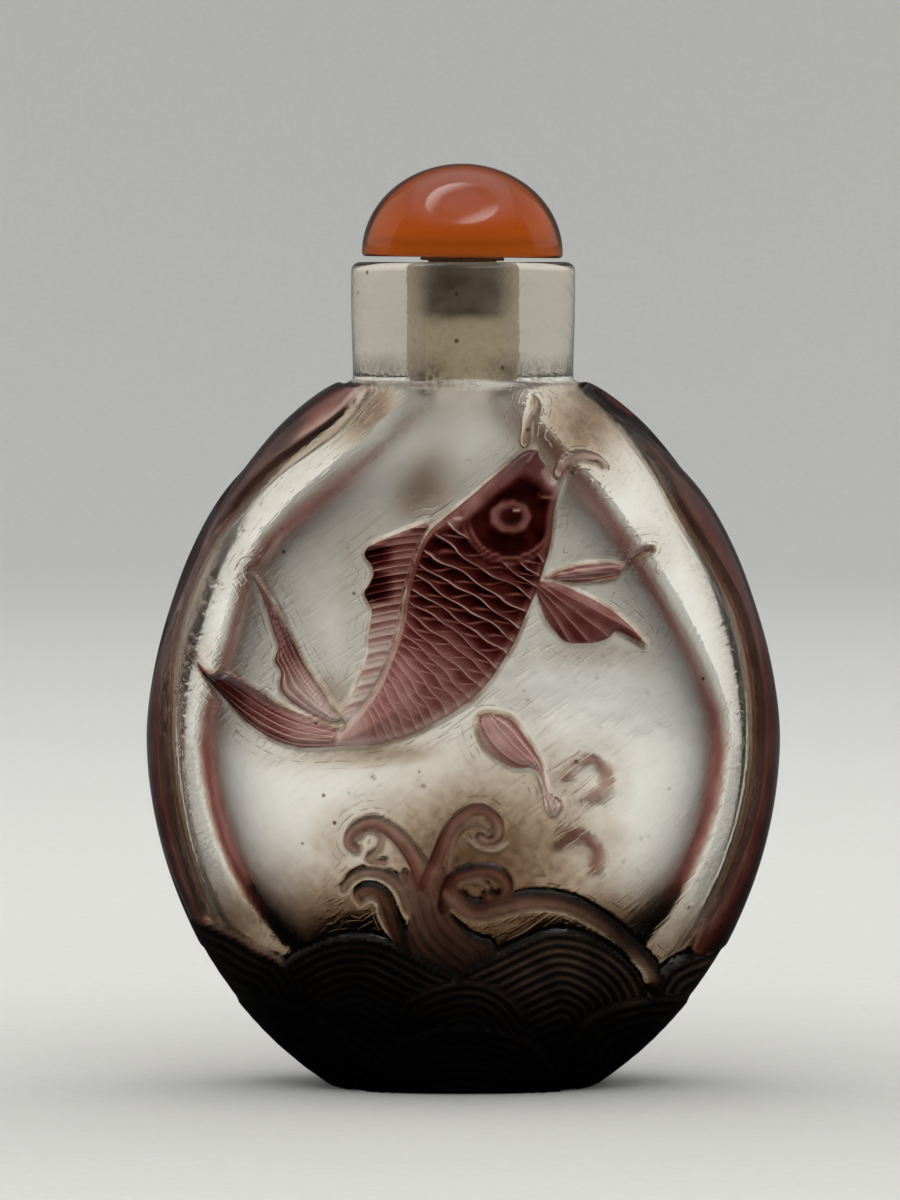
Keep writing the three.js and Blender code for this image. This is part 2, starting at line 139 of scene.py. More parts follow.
LOWER_TAIL_SPINE = [(-9.0, 26.4), (-13.0, 27.0), (-16.5, 29.0), (-19.0, 31.2), (-20.9, 33.2)]
UPPER_TAIL = [
    (-16.2, 39.2), (-15.2, 38.0), (-14.0, 36.2), (-13.0, 34.2), (-12.2, 32.4), (-11.2, 30.8), (-9.9, 28.8),
    (-9.2, 27.8), (-10.2, 27.6), (-12.0, 28.4), (-13.6, 29.6), (-13.9, 30.6), (-13.8, 31.4), (-14.3, 32.3),
    (-14.0, 33.3), (-14.4, 34.6), (-14.9, 36.3), (-15.5, 37.7),
]
UPPER_TAIL_SPINE = [(-9.6, 28.0), (-12.0, 30.5), (-13.4, 33.0), (-14.4, 36.0), (-16.2, 39.2)]
BREAST_FIN = [
    (5.6, 38.3), (7.0, 38.2), (8.5, 37.6), (10.0, 36.9), (11.3, 36.1), (12.3, 35.3), (13.2, 34.4), (13.9, 33.4),
    (12.6, 34.05), (11.6, 34.45), (11.1, 34.0), (10.2, 33.65), (8.8, 33.55), (7.7, 33.7), (7.1, 34.3),
    (6.3, 35.3), (5.8, 36.6), (5.5, 37.5),
]
BREAST_FIN_ROOT = (4.6, 39.0)
SIDE_FIN = [
    (6.1, 38.6), (7.4, 39.15), (9.0, 39.6), (11.0, 39.75), (12.1, 39.6), (12.8, 40.3), (13.6, 40.75),
    (14.5, 40.8), (13.8, 40.3), (12.9, 39.9), (12.2, 39.2), (11.6, 38.6), (10.4, 38.35), (9.0, 38.2),
    (7.4, 38.3),
]
SIDE_FIN_SPINE = [(6.2, 38.5), (9.0, 38.9), (12.0, 39.3), (14.5, 40.8)]
BELLY_FIN = [
    (0.95, 27.8), (1.6, 28.3), (3.0, 28.2), (3.9, 27.8), (4.5, 27.0), (5.2, 25.9), (5.9, 24.7), (6.3, 23.4),
    (6.6, 22.3), (7.6, 21.5), (7.1, 20.4), (6.45, 20.9), (6.2, 22.2), (5.8, 23.5), (5.1, 24.05), (4.2, 24.0),
    (3.2, 24.35), (2.2, 25.0), (1.5, 25.8), (1.1, 26.8),
]
BELLY_FIN_SPINE = [(1.8, 28.4), (3.6, 26.4), (5.4, 24.4), (6.3, 22.6), (7.2, 20.6)]

# Ribbons: points, half-width at either end, thickness of colour, dirt (more at the edges as painted shade) and height
BARBELS = [
    ([(7.5, 46.6), (7.9, 47.3), (8.6, 47.75), (9.4, 47.75), (10.2, 47.5), (10.75, 47.0)], 0.4, 0.22, 0.2, 0.2, 0.7),
    ([(4.75, 49.0), (4.9, 49.8), (5.0, 50.6), (5.4, 51.4), (5.5, 52.0)], 0.3, 0.15, 0.16, 0.3, 0.6),
]
SURF = [
    ([(-4.0, 13.4), (-4.7, 15.0), (-5.8, 15.9), (-7.2, 16.2), (-8.4, 15.8), (-9.1, 14.9)],
     0.55, 0.3, 0.15, 0.8, 0.45),
    ([(-4.6, 10.6), (-5.4, 11.9), (-6.0, 13.0), (-6.2, 13.9), (-6.9, 14.4), (-7.5, 14.2)],
     0.5, 0.25, 0.15, 0.9, 0.6),
    ([(-4.4, 10.4), (-4.9, 11.6), (-5.4, 12.8), (-5.9, 14.2), (-6.6, 14.9), (-7.5, 14.95), (-8.05, 14.5),
      (-7.8, 14.0)], 0.5, 0.3, 0.4, 0.9, 0.6),
    ([(-6.0, 16.9), (-7.2, 17.2), (-6.4, 17.9), (-6.2, 18.9), (-6.8, 19.4), (-7.6, 19.3), (-7.9, 18.8)],
     0.3, 0.2, 0.15, 0.6, 0.5),
    ([(-2.9, 15.4), (-3.5, 16.9), (-4.4, 18.3), (-5.4, 19.3), (-6.6, 19.95), (-7.7, 19.75), (-8.5, 19.1),
      (-8.65, 18.4), (-8.1, 17.9)], 0.75, 0.38, 0.36, 0.55, 0.7),
    ([(-1.2, 15.0), (-0.9, 18.0), (-0.5, 19.2), (0.3, 19.9), (1.3, 20.0), (1.9, 19.6)],
     0.4, 0.2, 0.2, 0.9, 0.5),
    ([(0.4, 18.7), (1.2, 18.1), (2.4, 17.85), (3.3, 18.4)], 0.25, 0.25, 0.1, 0.6, 0.5),
    ([(-2.7, 15.4), (-2.0, 17.0), (-1.4, 18.6), (-0.6, 19.9), (0.5, 20.8), (1.5, 20.9), (2.4, 20.3), (2.8, 19.5),
      (2.6, 18.8), (1.9, 18.5), (1.3, 18.8)], 0.6, 0.38, 0.4, 0.7, 0.7),
    ([(-0.4, 13.6), (-0.7, 14.8), (0.0, 15.5), (1.0, 15.6), (1.9, 15.1)], 0.4, 0.25, 0.2, 0.9, 0.5),
    ([(-1.4, 13.6), (-1.2, 14.8), (-0.7, 15.7), (0.4, 16.15), (1.6, 16.3), (2.8, 16.0), (3.35, 15.2), (3.1, 14.35),
      (2.4, 13.95), (1.9, 14.4)], 0.5, 0.45, 0.5, 1.0, 0.65),
    ([(-0.8, 14.4), (0.2, 13.5), (1.4, 13.2), (3.0, 13.6), (5.0, 14.0), (6.8, 14.0), (8.4, 13.6), (9.9, 12.8),
      (11.6, 11.6), (13.2, 10.0), (14.4, 8.6), (14.9, 7.0)], 0.8, 0.5, 0.25, 0.85, 0.5),
]
STEM = [
    (-4.7, 16.2), (-3.1, 16.3), (-1.5, 16.0), (-1.4, 14.4), (-0.8, 12.8), (0.6, 11.4), (2.4, 10.6), (2.2, 8.0),
    (-2.0, 7.8), (-5.4, 9.5), (-4.3, 11.4), (-4.0, 13.4), (-4.4, 15.0),
]
STEM_SPINE = [(-3.0, 16.5), (-2.7, 14.0), (-1.8, 11.6), (0.4, 9.6)]
BACK_SURF = [
    ([(-7.6, 22.6), (-8.2, 23.6), (-9.7, 24.2), (-10.7, 23.0), (-10.3, 21.2), (-9.2, 20.7)], 0.4, 0.4, 0.4, 0.1, 0.7),
    ([(-7.0, 17.2), (-7.8, 17.9), (-8.9, 18.0), (-10.0, 17.0), (-10.1, 15.2)], 0.4, 0.45, 0.45, 0.1, 0.7),
]

# Patches of dirt on the front face: middle, radii, amount
SOILED = [
    ((1.2, 16.2), (6.5, 6.0), 1.6),
    ((-10.5, 12.8), (6.0, 4.2), 0.8),
    ((10.5, 12.0), (6.0, 3.8), 0.55),
    ((-17.0, 12.0), (3.0, 3.0), 0.9),
    ((17.0, 10.0), (3.0, 3.0), 0.7),
    ((5.0, 22.0), (3.2, 2.6), 0.4),
    ((-10.4, 29.4), (2.0, 1.6), 0.45),
    ((9.2, 50.6), (2.8, 2.6), 0.95),
    ((-5.0, 52.6), (6.0, 2.0), 0.14),
    ((9.6, 33.0), (3.5, 1.0), 0.2),
    ((-6.5, 25.2), (5.0, 0.9), 0.55),
    ((-10.0, 40.0), (4.0, 5.0), 0.15),
    ((-9.7, 17.6), (2.6, 3.2), 0.35),
    ((10.6, 18.8), (2.4, 1.6), 0.25),
    ((4.8, 12.4), (4.0, 0.8), 0.9),
]

BACK_SOILED = [
    ((3.4, 46.8), (2.2, 2.4), 1.1),
]

# The sea, from far to near: each swell's crest, height, tone and strength of its ridges
SWELLS = [
    ([(-13.8, 9.0), (-12.2, 10.1), (-10.2, 11.0), (-8.0, 11.3), (-6.0, 11.0), (-4.4, 10.2), (-2.6, 9.2),
      (-0.8, 8.3), (0.4, 7.0)], 0.95, 1.0, 0.7),
    ([(0.0, 8.7), (2.0, 9.6), (4.0, 10.6), (6.0, 11.45), (7.5, 11.65), (9.2, 11.35), (11.0, 10.5), (12.4, 9.4),
      (13.4, 8.0), (13.9, 6.4)], 0.85, 0.62, 0.9),
    ([(-27.0, 14.4), (-24.0, 13.9), (-21.2, 13.2), (-19.0, 12.3), (-17.2, 11.5), (-15.6, 10.5), (-13.6, 9.4),
      (-12.4, 7.6)], 1.0, 1.5, 0.6),
    ([(13.9, 6.4), (15.0, 8.6), (16.2, 9.5), (17.8, 10.2), (19.4, 10.9), (21.4, 11.7), (24.0, 12.6), (27.0, 13.2)],
     1.0, 1.4, 0.6),
    ([(-4.8, 5.0), (-4.0, 6.5), (-2.5, 7.3), (-0.8, 7.85), (0.8, 7.9), (2.2, 7.5), (3.4, 6.7), (4.6, 5.2)],
     1.15, 1.5, 0.3),
    ([(8.2, 3.6), (9.0, 4.9), (10.4, 5.8), (12.4, 6.5), (14.4, 6.85), (16.4, 6.9), (19.0, 6.6), (23.0, 6.0)],
     1.15, 1.5, 0.3),
    ([(-23.0, 6.0), (-19.0, 6.6), (-15.8, 6.9), (-13.2, 6.4), (-11.0, 5.4), (-9.0, 4.2), (-8.2, 3.0)],
     1.15, 1.5, 0.3),
    ([(-7.0, 0.6), (-5.6, 2.8), (-3.0, 4.1), (0.0, 4.5), (3.0, 4.1), (5.6, 2.8), (7.0, 0.6)], 1.3, 1.6, 0.3),
]
RIDGE_GAP = 0.68
SEA_LEVEL = 6.0
SEA_FLOOR = -3.0

# The stopper leans a little in the bore
STOPPER_LEAN = math.radians(0.6)
STOPPER_FOOT = BOTTLE_HIGH.z / MM + 0.1
STOPPER_SHIFT = -0.06
CORK_HEAD = 0.26
DOME_RADIUS = 7.63
DOME_HEIGHT = 7.1
CORK_RADIUS = 2.6
CORK_HEAD_RADIUS = 3.2
CORK_LENGTH = 4.3

FAR = 3.2  # distances outside a motif are not told apart beyond this


class SnuffBottleSizes(bpy.types.PropertyGroup):
    """Sizes of the bottle that a user would change"""

    body_width: bpy.props.FloatProperty(
        name="Body width",
        description="Width over both side panels",
        default=BOTTLE_HIGH.x - BOTTLE_LOW.x,
        unit="LENGTH",
    )
    lip_height: bpy.props.FloatProperty(
        name="Lip height",
        description="Height of the neck's lip above the foot",
        default=BOTTLE_HIGH.z,
        unit="LENGTH",
    )
    casing: bpy.props.FloatProperty(
        name="Casing",
        description="How far the side panels stand above the clear glass",
        default=0.9 * MM,
        unit="LENGTH",
    )
    column_gap: bpy.props.FloatProperty(
        name="Column gap",
        description="Distance between the flask's columns where the carp is carved",
        default=0.168 * MM,
        unit="LENGTH",
    )
    row_gap: bpy.props.FloatProperty(
        name="Row gap",
        description="Distance between the flask's rows",
        default=0.245 * MM,
        unit="LENGTH",
    )


class SnuffBottleColours(bpy.types.PropertyGroup):
    """Colours of the glass, the cork and the stage"""

    clear_glass: bpy.props.FloatVectorProperty(
        name="Clear glass",
        description="Tint of the clear glass",
        subtype="COLOR",
        default=(1.0, 0.985, 0.92),
    )
    casing_density: bpy.props.FloatVectorProperty(
        name="Casing density",
        description="How strongly a millimetre of the amethyst casing holds back red, green and blue",
        default=(4.4, 7.8, 8.0),
    )
    film_density: bpy.props.FloatVectorProperty(
        name="Film density",
        description="How strongly the brown film of dirt holds back red, green and blue",
        default=(2.2, 2.9, 3.6),
    )
    # This tint also colours the painted shade that is carried with the dirt.
    grime_and_shade: bpy.props.FloatVectorProperty(
        name="Grime",
        description="Tint of the old dirt that lies in the carving",
        subtype="COLOR",
        default=(0.06, 0.034, 0.012),
    )
    # The sea's ridge colour stands for dust together with painted light.
    sea: bpy.props.FloatVectorProperty(
        name="Sea",
        description="Colour of the dirt that lies on the sea's ridges",
        subtype="COLOR",
        default=(0.11, 0.064, 0.042),
    )
    dome_glass: bpy.props.FloatVectorProperty(
        name="Dome glass",
        description="Tint of the stopper's orange glass",
        subtype="COLOR",
        default=(0.46, 0.075, 0.009),
    )
    snuff: bpy.props.FloatVectorProperty(
        name="Snuff",
        description="Colour of the old snuff on the wall of the bore",
        subtype="COLOR",
        default=(0.97, 0.9, 0.71),
    )
    cork: bpy.props.FloatVectorProperty(
        name="Cork",
        description="Colour of the old cork",
        subtype="COLOR",
        default=(0.1, 0.07, 0.035),
    )
    floor: bpy.props.FloatVectorProperty(
        name="Floor",
        description="Colour of the floor round the bottle",
        subtype="COLOR",
        default=(0.72, 0.72, 0.695),
    )


# Curves, outlines and soft steps


def soft_step(value, soft):
    """0 below -soft/2, 1 above +soft/2 and a smooth cubic between them."""
    share = np.clip(value / soft + 0.5, 0, 1)
    return share * share * (3 - 2 * share)


def superellipse(share, power):
    """Height of the curve share**power + height**power = 1."""
    return np.clip(1 - np.abs(share) ** power, 0, 1) ** (1 / power)


def cubic_through(a, b, c, d, u):
    """Catmull-Rom cubic from b to c, which leaves and reaches them along the chords a-c and b-d."""
    bend = (2 * a - 5 * b + 4 * c - d) * u**2 + (3 * b - a - 3 * c + d) * u**3
    return 0.5 * (2 * b + (c - a) * u + bend)


def smooth_path(points, each=7):
    """Open curve through the points, each stretch drawn as several short lines."""
    points = np.asarray(points, float)
    ends = np.vstack([2 * points[0] - points[1], points, 2 * points[-1] - points[-2]])
    place = np.linspace(0, len(points) - 1 - 1e-9, (len(points) - 1) * each + 1)
    index = place.astype(int)
    return cubic_through(*(ends[index + k] for k in range(4)), (place - index)[:, None])


def smooth_loop(points, each=4):
    """Closed curve through the points."""
    points = np.asarray(points, float)
    place = np.arange(len(points) * each) / each
    index = place.astype(int)
    u = (place - index)[:, None]
    loop = cubic_through(*(points[(index + k - 1) % len(points)] for k in range(4)), u)
    return np.vstack([loop, loop[:1]])


def follow(path, x, z):
    """Distance of each point from a path, the place of the nearest point along it from 0 to 1, and the
    side, +1 on the left of the way along it. Each point is set against every stretch at once."""
    start = path[:-1]
    step = np.diff(path, axis=0)
    long = np.hypot(*step.T)
    run = np.concatenate([[0], np.cumsum(long)])
    away_x = x[:, None] - start[:, 0]
    away_z = z[:, None] - start[:, 1]
    share = np.clip((away_x * step[:, 0] + away_z * step[:, 1]) / long**2, 0, 1)
    gap = np.hypot(away_x - share * step[:, 0], away_z - share * step[:, 1])
    nearest = gap.argmin(1)
    row = np.arange(len(x))
    place = (run[nearest] + share[row, nearest] * long[nearest]) / run[-1]
    turn = step[nearest, 0] * away_z[row, nearest] - step[nearest, 1] * away_x[row, nearest]
    return gap[row, nearest], place, np.sign(turn)


def within(loop, x, z):
    """Distance to a closed outline, positive within it and negative outside. A point is within if a level
    ray from it crosses the outline an odd number of times."""
    low, high = loop.min(0) - FAR, loop.max(0) + FAR
    near = (x > low[0]) & (x < high[0]) & (z > low[1]) & (z < high[1])
    result = np.full(len(x), -FAR)
    if not near.any():
        return result
    px, pz = x[near], z[near]
    x1, z1 = loop[:-1].T
    x2, z2 = loop[1:].T
    level = np.where(z2 == z1, 1e-9, z2 - z1)
    spans = (z1 > pz[:, None]) != (z2 > pz[:, None])
    crossed = spans & (px[:, None] < (x2 - x1) * (pz[:, None] - z1) / level + x1)
    sign = np.where(crossed.sum(1) % 2 == 1, 1.0, -1.0)
    result[near] = sign * follow(loop, px, pz)[0]
    return np.maximum(result, -FAR)


# The clear flask


def half_width(z, body_width, casing):
    """Half the clear flask's width: a superellipse in the front view less the casing, never under the neck."""
    above = z > WIDEST_HEIGHT
    reach = np.where(above, UPPER_RISE, LOWER_DROP)
    power = np.where(above, UPPER_POWER, LOWER_POWER)
    cased = body_width / 2 * superellipse((z - WIDEST_HEIGHT) / reach, power)
    return np.maximum(cased - casing, NECK_RADIUS + LEDGE)


def half_depth(z):
    """Half the clear flask's depth: widest at the belly, falling off by a power towards shoulder and foot."""
    above = z > WIDEST_HEIGHT
    span = np.where(above, SHOULDER_HEIGHT - WIDEST_HEIGHT, WIDEST_HEIGHT)
    fall = CLEAR_DEPTH - np.where(above, SHOULDER_DEPTH, FOOT_DEPTH)
    return (CLEAR_DEPTH - fall * (np.abs(z - WIDEST_HEIGHT) / span) ** DEPTH_POWER) / 2


OUTSIDE, INSIDE, COATED, SEA = 0, 1, 2, 3


def rows_of(z, width, depth, power, lift, zone):
    """Rows as an array: height, half-width, half-depth, power of the section, share of relief, zone."""
    return np.stack(np.broadcast_arrays(z, width, depth, power, lift, zone), 1).astype(float)


def flask_rows(sizes):
    """The flask's profile as rows, from the middle of its underside up the outside, over the lip and down
    the bore to the bottom of the hollow. Round edges are quarter circles."""
    body_width, casing = sizes.body_width / MM, sizes.casing / MM
    lip = sizes.lip_height / MM
    foot = half_width(np.array([0.0]), body_width, casing)[0]
    foot_deep = half_depth(np.array([0.0]))[0]
    share = np.array([0.0, 0.4, 0.75, 0.93])
    under = rows_of(0.0, foot * share, foot_deep * share, SECTION_POWER, share**4, OUTSIDE)
    turn = np.linspace(0, math.pi / 2, 4)[:-1]
    inset = FOOT_ROUND * (1 - np.sin(turn))
    edge = rows_of(
        FOOT_ROUND * (1 - np.cos(turn)), foot - inset, foot_deep - inset, SECTION_POWER, 0.9, OUTSIDE
    )
    count = int((SHOULDER_HEIGHT - FOOT_ROUND) / (sizes.row_gap / MM))
    z = np.linspace(FOOT_ROUND, SHOULDER_HEIGHT - 0.4, count)
    body = rows_of(z, half_width(z, body_width, casing), half_depth(z), SECTION_POWER, 1.0, OUTSIDE)
    last = body[-1]
    share = np.array([0.15, 0.4, 0.75, 1.0])
    ledge = rows_of(
        SHOULDER_HEIGHT + np.array([-0.2, -0.05, 0.05, 0.15]),
        last[1] + (NECK_WAIST + 0.3 - last[1]) * share,
        last[2] + (NECK_WAIST + 0.3 - last[2]) * share,
        SECTION_POWER + (2 - SECTION_POWER) * share,
        np.array([0.85, 0.5, 0.15, 0.0]),
        OUTSIDE,
    )
    z = np.array([0.3, 0.55, 0.9, 2.0, 3.5, 5.0, 6.5, 7.6])
    radius = NECK_WAIST + (NECK_RADIUS - NECK_WAIST) * soft_step(z - 3, 6)
    radius = radius + 0.14 * np.exp(-z / 0.35)
    neck = rows_of(SHOULDER_HEIGHT + z, radius, radius, 2.0, 0.0, OUTSIDE)
    turn = np.linspace(0, math.pi / 2, 7)
    radius = NECK_RADIUS - LIP_ROUND * (1 - np.cos(turn))
    top = rows_of(lip - LIP_ROUND * (1 - np.sin(turn)), radius, radius, 2.0, 0.0, OUTSIDE)
    turn = np.linspace(0, math.pi / 2, 5)
    radius = BORE_RADIUS + BORE_MOUTH * (1 - np.sin(turn))
    mouth = rows_of(lip - BORE_MOUTH * (1 - np.cos(turn)), radius, radius, 2.0, 0.0, COATED)
    hollow = hollow_rows()
    z = np.linspace(lip - 1.5, hollow[0, 0] + 0.6, 6)
    bore = rows_of(z, BORE_RADIUS, BORE_RADIUS, 2.0, 0.0, COATED)
    return np.vstack([under, edge, body, ledge, neck, top, mouth, bore, hollow])


def hollow_rows():
    """The hollow below the bore. In front view its shoulders are a superellipse of low power, so they run
    nearly straight under the flask's own, and its bottom is a half ellipse; in side view it is an ellipse."""
    share = np.sin(np.linspace(math.pi / 2, -math.pi / 2, 30))
    up = share > 0
    reach = np.where(up, HOLLOW_RISE, HOLLOW_DROP)
    power = np.where(up, HOLLOW_UPPER_POWER, 2.0)
    width = HOLLOW_WIDTH / 2 * superellipse(share, power)
    depth = HOLLOW_DEPTH / 2 * superellipse(share, 2.0)
    width[up] = np.hypot(width[up], BORE_RADIUS * share[up] ** 4)
    depth[up] = np.hypot(depth[up], BORE_RADIUS * share[up] ** 4)
    section_power = np.interp(share, [0.6, 0.97], [HOLLOW_SECTION, 2.0])
    rows = rows_of(HOLLOW_MIDDLE + reach * share, width, depth, section_power, 0.0, INSIDE)
    rows[-1, 1:3] = 0.0
    return rows


def flask_columns(sizes):
    """Angles round the flask. The gap between columns is smallest on the carp's face and widest at the back,
    so the angles are read off the running sum of 1 / gap along a section through the belly."""
    angle = np.linspace(0.5 * math.pi, 2.5 * math.pi, 6001)
    x, y = section(angle, 23.4, 11.4, SECTION_POWER)
    finest = sizes.column_gap / MM
    gap = np.interp(np.abs(x), [12.5, 15.5, 20.0, 22.8], [finest, finest * 1.7, 0.28, 0.34])
    gap = np.where(y > 0, np.interp(np.abs(x), [0, 20, 23], [0.7, 0.66, 0.5]), gap)
    run = np.concatenate([[0], np.cumsum(np.hypot(np.diff(x), np.diff(y)) / gap[1:])])
    count = int(run[-1])
    return np.interp(np.arange(count) * run[-1] / count, run, angle)


def section(angle, width, depth, power):
    """A superellipse: each of cosine and sine keeps its sign and is raised to 2 / power."""
    across, deep = np.cos(angle), np.sin(angle)
    x = width * np.sign(across) * np.abs(across) ** (2 / power)
    y = depth * np.sign(deep) * np.abs(deep) ** (2 / power)
    return x, y


# The carving


class Carving:
    """What lies on the clear glass of one face at each point: the height it stands, the thickness of coloured
    glass, the distance inside the nearest motif's edge, the old dirt with some painted shade, and a pattern
    of fine lines given by two phases and a strength."""

    def __init__(self, x, z):
        self.x, self.z = x, z
        self.height, self.casing, self.grime_and_shade, self.matt = np.zeros((4, len(x)))
        self.phase_a, self.phase_b, self.strength = np.zeros((3, len(x)))
        self.edge, self.sea = np.full((2, len(x)), -FAR)

    def lay(self, inside, height, casing, lines=(0.0, 0.0, 0.0), grime_and_shade=0.0, matt=0.12):
        """Lays a motif over what was there, softly at its edge. Over clear glass its colour reaches a little
        past the edge, where the material cuts it off sharply."""
        cover = soft_step(inside, 0.32)
        colour = np.where(self.edge > 0, soft_step(inside, 0.2), soft_step(inside + 0.35, 0.2))
        self.height += cover * (height - self.height)
        self.casing += colour * (casing - self.casing)
        self.grime_and_shade += cover * (grime_and_shade - self.grime_and_shade)
        self.matt += cover * (matt - self.matt)
        self.strength += cover * (lines[2] - self.strength)
        over = inside > -0.2
        self.phase_a = np.where(over, lines[0], self.phase_a)
        self.phase_b = np.where(over, lines[1], self.phase_b)
        self.edge = np.maximum(self.edge, inside)

    def shade(self, cover, casing, height=0.0):
        """Changes the thickness of colour, and the height, of what is already there."""
        self.casing += cover * (casing - self.casing)
        self.height += cover * height

    def soil(self, middle, radii, amount):
        """Dirt in a soft round patch."""
        away = ((self.x - middle[0]) / radii[0]) ** 2 + ((self.z - middle[1]) / radii[1]) ** 2
        self.grime_and_shade = np.maximum(self.grime_and_shade, amount * np.exp(-away))

    def sideways(self):
        """Share of the flask's half-width at each point's height."""
        return np.abs(self.x) / half_width(self.z, (BOTTLE_HIGH.x - BOTTLE_LOW.x) / MM, 0.0)

    def fields(self):
        looks = (self.casing, self.grime_and_shade, self.matt, self.edge)
        return self.height, *looks, self.phase_a, self.phase_b, self.strength, self.sea


def between(value, low, high, soft):
    """1 between low and high, with soft ends."""
    return soft_step(value - low, soft) * soft_step(high - value, soft)


def carve_ribbons(carving, ribbons, streaks):
    """Ribbons: strips along curves, whose half-width changes evenly from end to end, rounded on top, darker at
    the start and streaked lengthwise. Painted shade makes them darker on one side and dirtier at the edges."""
    for points, first, last, casing, grime_and_shade, height in ribbons:
        gap, place, side = follow(smooth_path(points), carving.x, carving.z)
        wide = first + (last - first) * place
        inside = np.maximum(wide - gap, -FAR)
        domed = height * (0.5 + 0.5 * np.sqrt(np.clip(inside / wide, 0, 1)))
        rim = np.clip(gap / wide, 0, 1)
        # Painted shade: each ribbon is darker on one side of its rounded top.
        tone = casing * (1.5 - 0.8 * place) * (0.9 + 0.4 * side * rim)
        phase = 1.1 * side * rim + 0.5
        # Painted shade: the dirt thickens towards the ribbon's edges.
        carving.lay(inside, domed, tone, (phase, phase, streaks), grime_and_shade * (0.8 + 0.5 * rim**2), 0.5)


def carve_fin(carving, outline, spine, rays, tones, height=0.65):
    """A fin inside an outline. Its rays keep a share of the half-width at each place along its spine, and its
    thickness of colour is read off tones at places from root to tip."""
    inside = within(smooth_loop(outline), carving.x, carving.z)
    gap, place, side = follow(smooth_path(spine), carving.x, carving.z)
    wide = np.maximum(gap + np.maximum(inside, 0.05), 0.2)
    phase = rays * side * gap / wide + 0.25
    tone = np.interp(place, np.linspace(0, 1, len(tones)), tones)
    tone = tone * (1.0 + 0.25 * np.sin(5.1 * phase))
    carving.lay(inside, height * soft_step(inside - 0.2, 0.9) + 0.25, tone, (phase, phase, 0.75))


def carve_dorsal_fin(carving):
    """The back fin: nearly level rays, two dark lobes at its outer edge and a pale lower half."""
    x, z = carving.x, carving.z
    inside = within(smooth_loop(DORSAL_FIN), x, z)
    phase = (z - 0.18 * x + 0.03 * (x + 5.5) ** 2) / 0.56
    tone = np.interp(z, [28.0, 33.0, 35.5, 37.0, 41.0], [0.24, 0.3, 0.42, 0.66, 0.72])
    lobes = np.maximum(between(z, 39.6, 41.0, 0.3), between(z, 36.8, 38.9, 0.3)) * soft_step(-5.6 - x, 1.2)
    tone = tone + 0.7 * lobes + 0.12 * np.sin(math.pi * phase)
    carving.lay(inside, 0.62 + 0.08 * np.cos(2 * math.pi * phase), tone, (phase, phase, 0.95 - 0.3 * lobes))


def carve_breast_fin(carving):
    """The breast fin: rays of constant angle round its root, with a paler leading edge."""
    x, z = carving.x - BREAST_FIN_ROOT[0], carving.z - BREAST_FIN_ROOT[1]
    angle = np.arctan2(z, x)
    inside = within(smooth_loop(BREAST_FIN), carving.x, carving.z)
    lead = soft_step(angle + 0.47, 0.12)
    tone = 0.74 - 0.22 * lead + 0.06 * np.sin(angle * 40)
    phase = angle / 0.165
    carving.lay(inside, 0.4 + 0.35 * soft_step(inside - 0.5, 1.2) + 0.1 * lead, tone, (phase, phase, 0.6))


def carve_carp(carving):
    """The carp. Each point is given a place along the spine and a distance across it; scales lie between two
    crossing sets of lines on the body, which is rounded from its outline inwards."""
    x, z = carving.x, carving.z
    carve_ribbons(carving, BARBELS, 0.0)
    carve_fin(carving, UPPER_TAIL, UPPER_TAIL_SPINE, 3.0, (0.22, 0.34, 0.6, 0.62, 0.4))
    carve_fin(carving, LOWER_TAIL, LOWER_TAIL_SPINE, 2.5, (0.38, 0.5, 0.72, 1.0, 0.8))
    carve_fin(carving, SIDE_FIN, SIDE_FIN_SPINE, 2.0, (0.5, 0.44, 0.42, 0.35))
    carve_fin(carving, BELLY_FIN, BELLY_FIN_SPINE, 2.0, (0.35, 0.45, 0.45, 0.3, 0.2))
    carve_breast_fin(carving)
    carve_dorsal_fin(carving)
    gap, s, side = follow(smooth_path(CARP_SPINE), x, z)
    across = side * gap
    along = s * CARP_LENGTH
    inside = within(smooth_loop(CARP), x, z)
    rounded = 0.3 + 0.95 * np.sqrt(np.clip(1 - (1 - np.clip(inside / 3.4, 0, 1)) ** 2, 0, 1))
    tone = np.interp(s, [0, 0.1, 0.25, 0.4, 0.55, 0.68], [0.4, 0.45, 0.54, 0.75, 1.2, 1.25])
    edge_of_belly = soft_step(0.6 - inside, 0.5) * (side < 0)
    ridge = soft_step(0.42 - inside, 0.16) * (side > 0)
    tone = tone * (1 - 0.45 * ridge) * (1 - 0.35 * edge_of_belly)
    wave = 0.1 * np.sin(1.9 * x + 1.1 * z) + 0.07 * np.sin(2.7 * z - 0.8 * x)
    first_gap, last_gap = SCALE_GAPS
    grown = last_gap - first_gap
    line_gap = first_gap + grown * s
    counted = CARP_LENGTH / grown * np.log(line_gap / first_gap)
    lines = [counted + slant * across / line_gap + wave for slant in SCALE_SLANTS]
    away = np.hypot(x - EYE[0], z - EYE[1])
    body = soft_step(away - GILL_RADIUS, 0.2) * soft_step(0.78 - s, 0.04) * soft_step(along - 2.5, 1.5)
    strength = body * soft_step(inside - np.where(side < 0, 0.1, 0.45), 0.25)
    strength = strength * np.interp(s, [0.1, 0.3, 0.55], [0.35, 0.6, 1.0])
    carving.lay(inside, rounded, tone, (*lines, strength))
    carve_head(carving, inside, s, side)


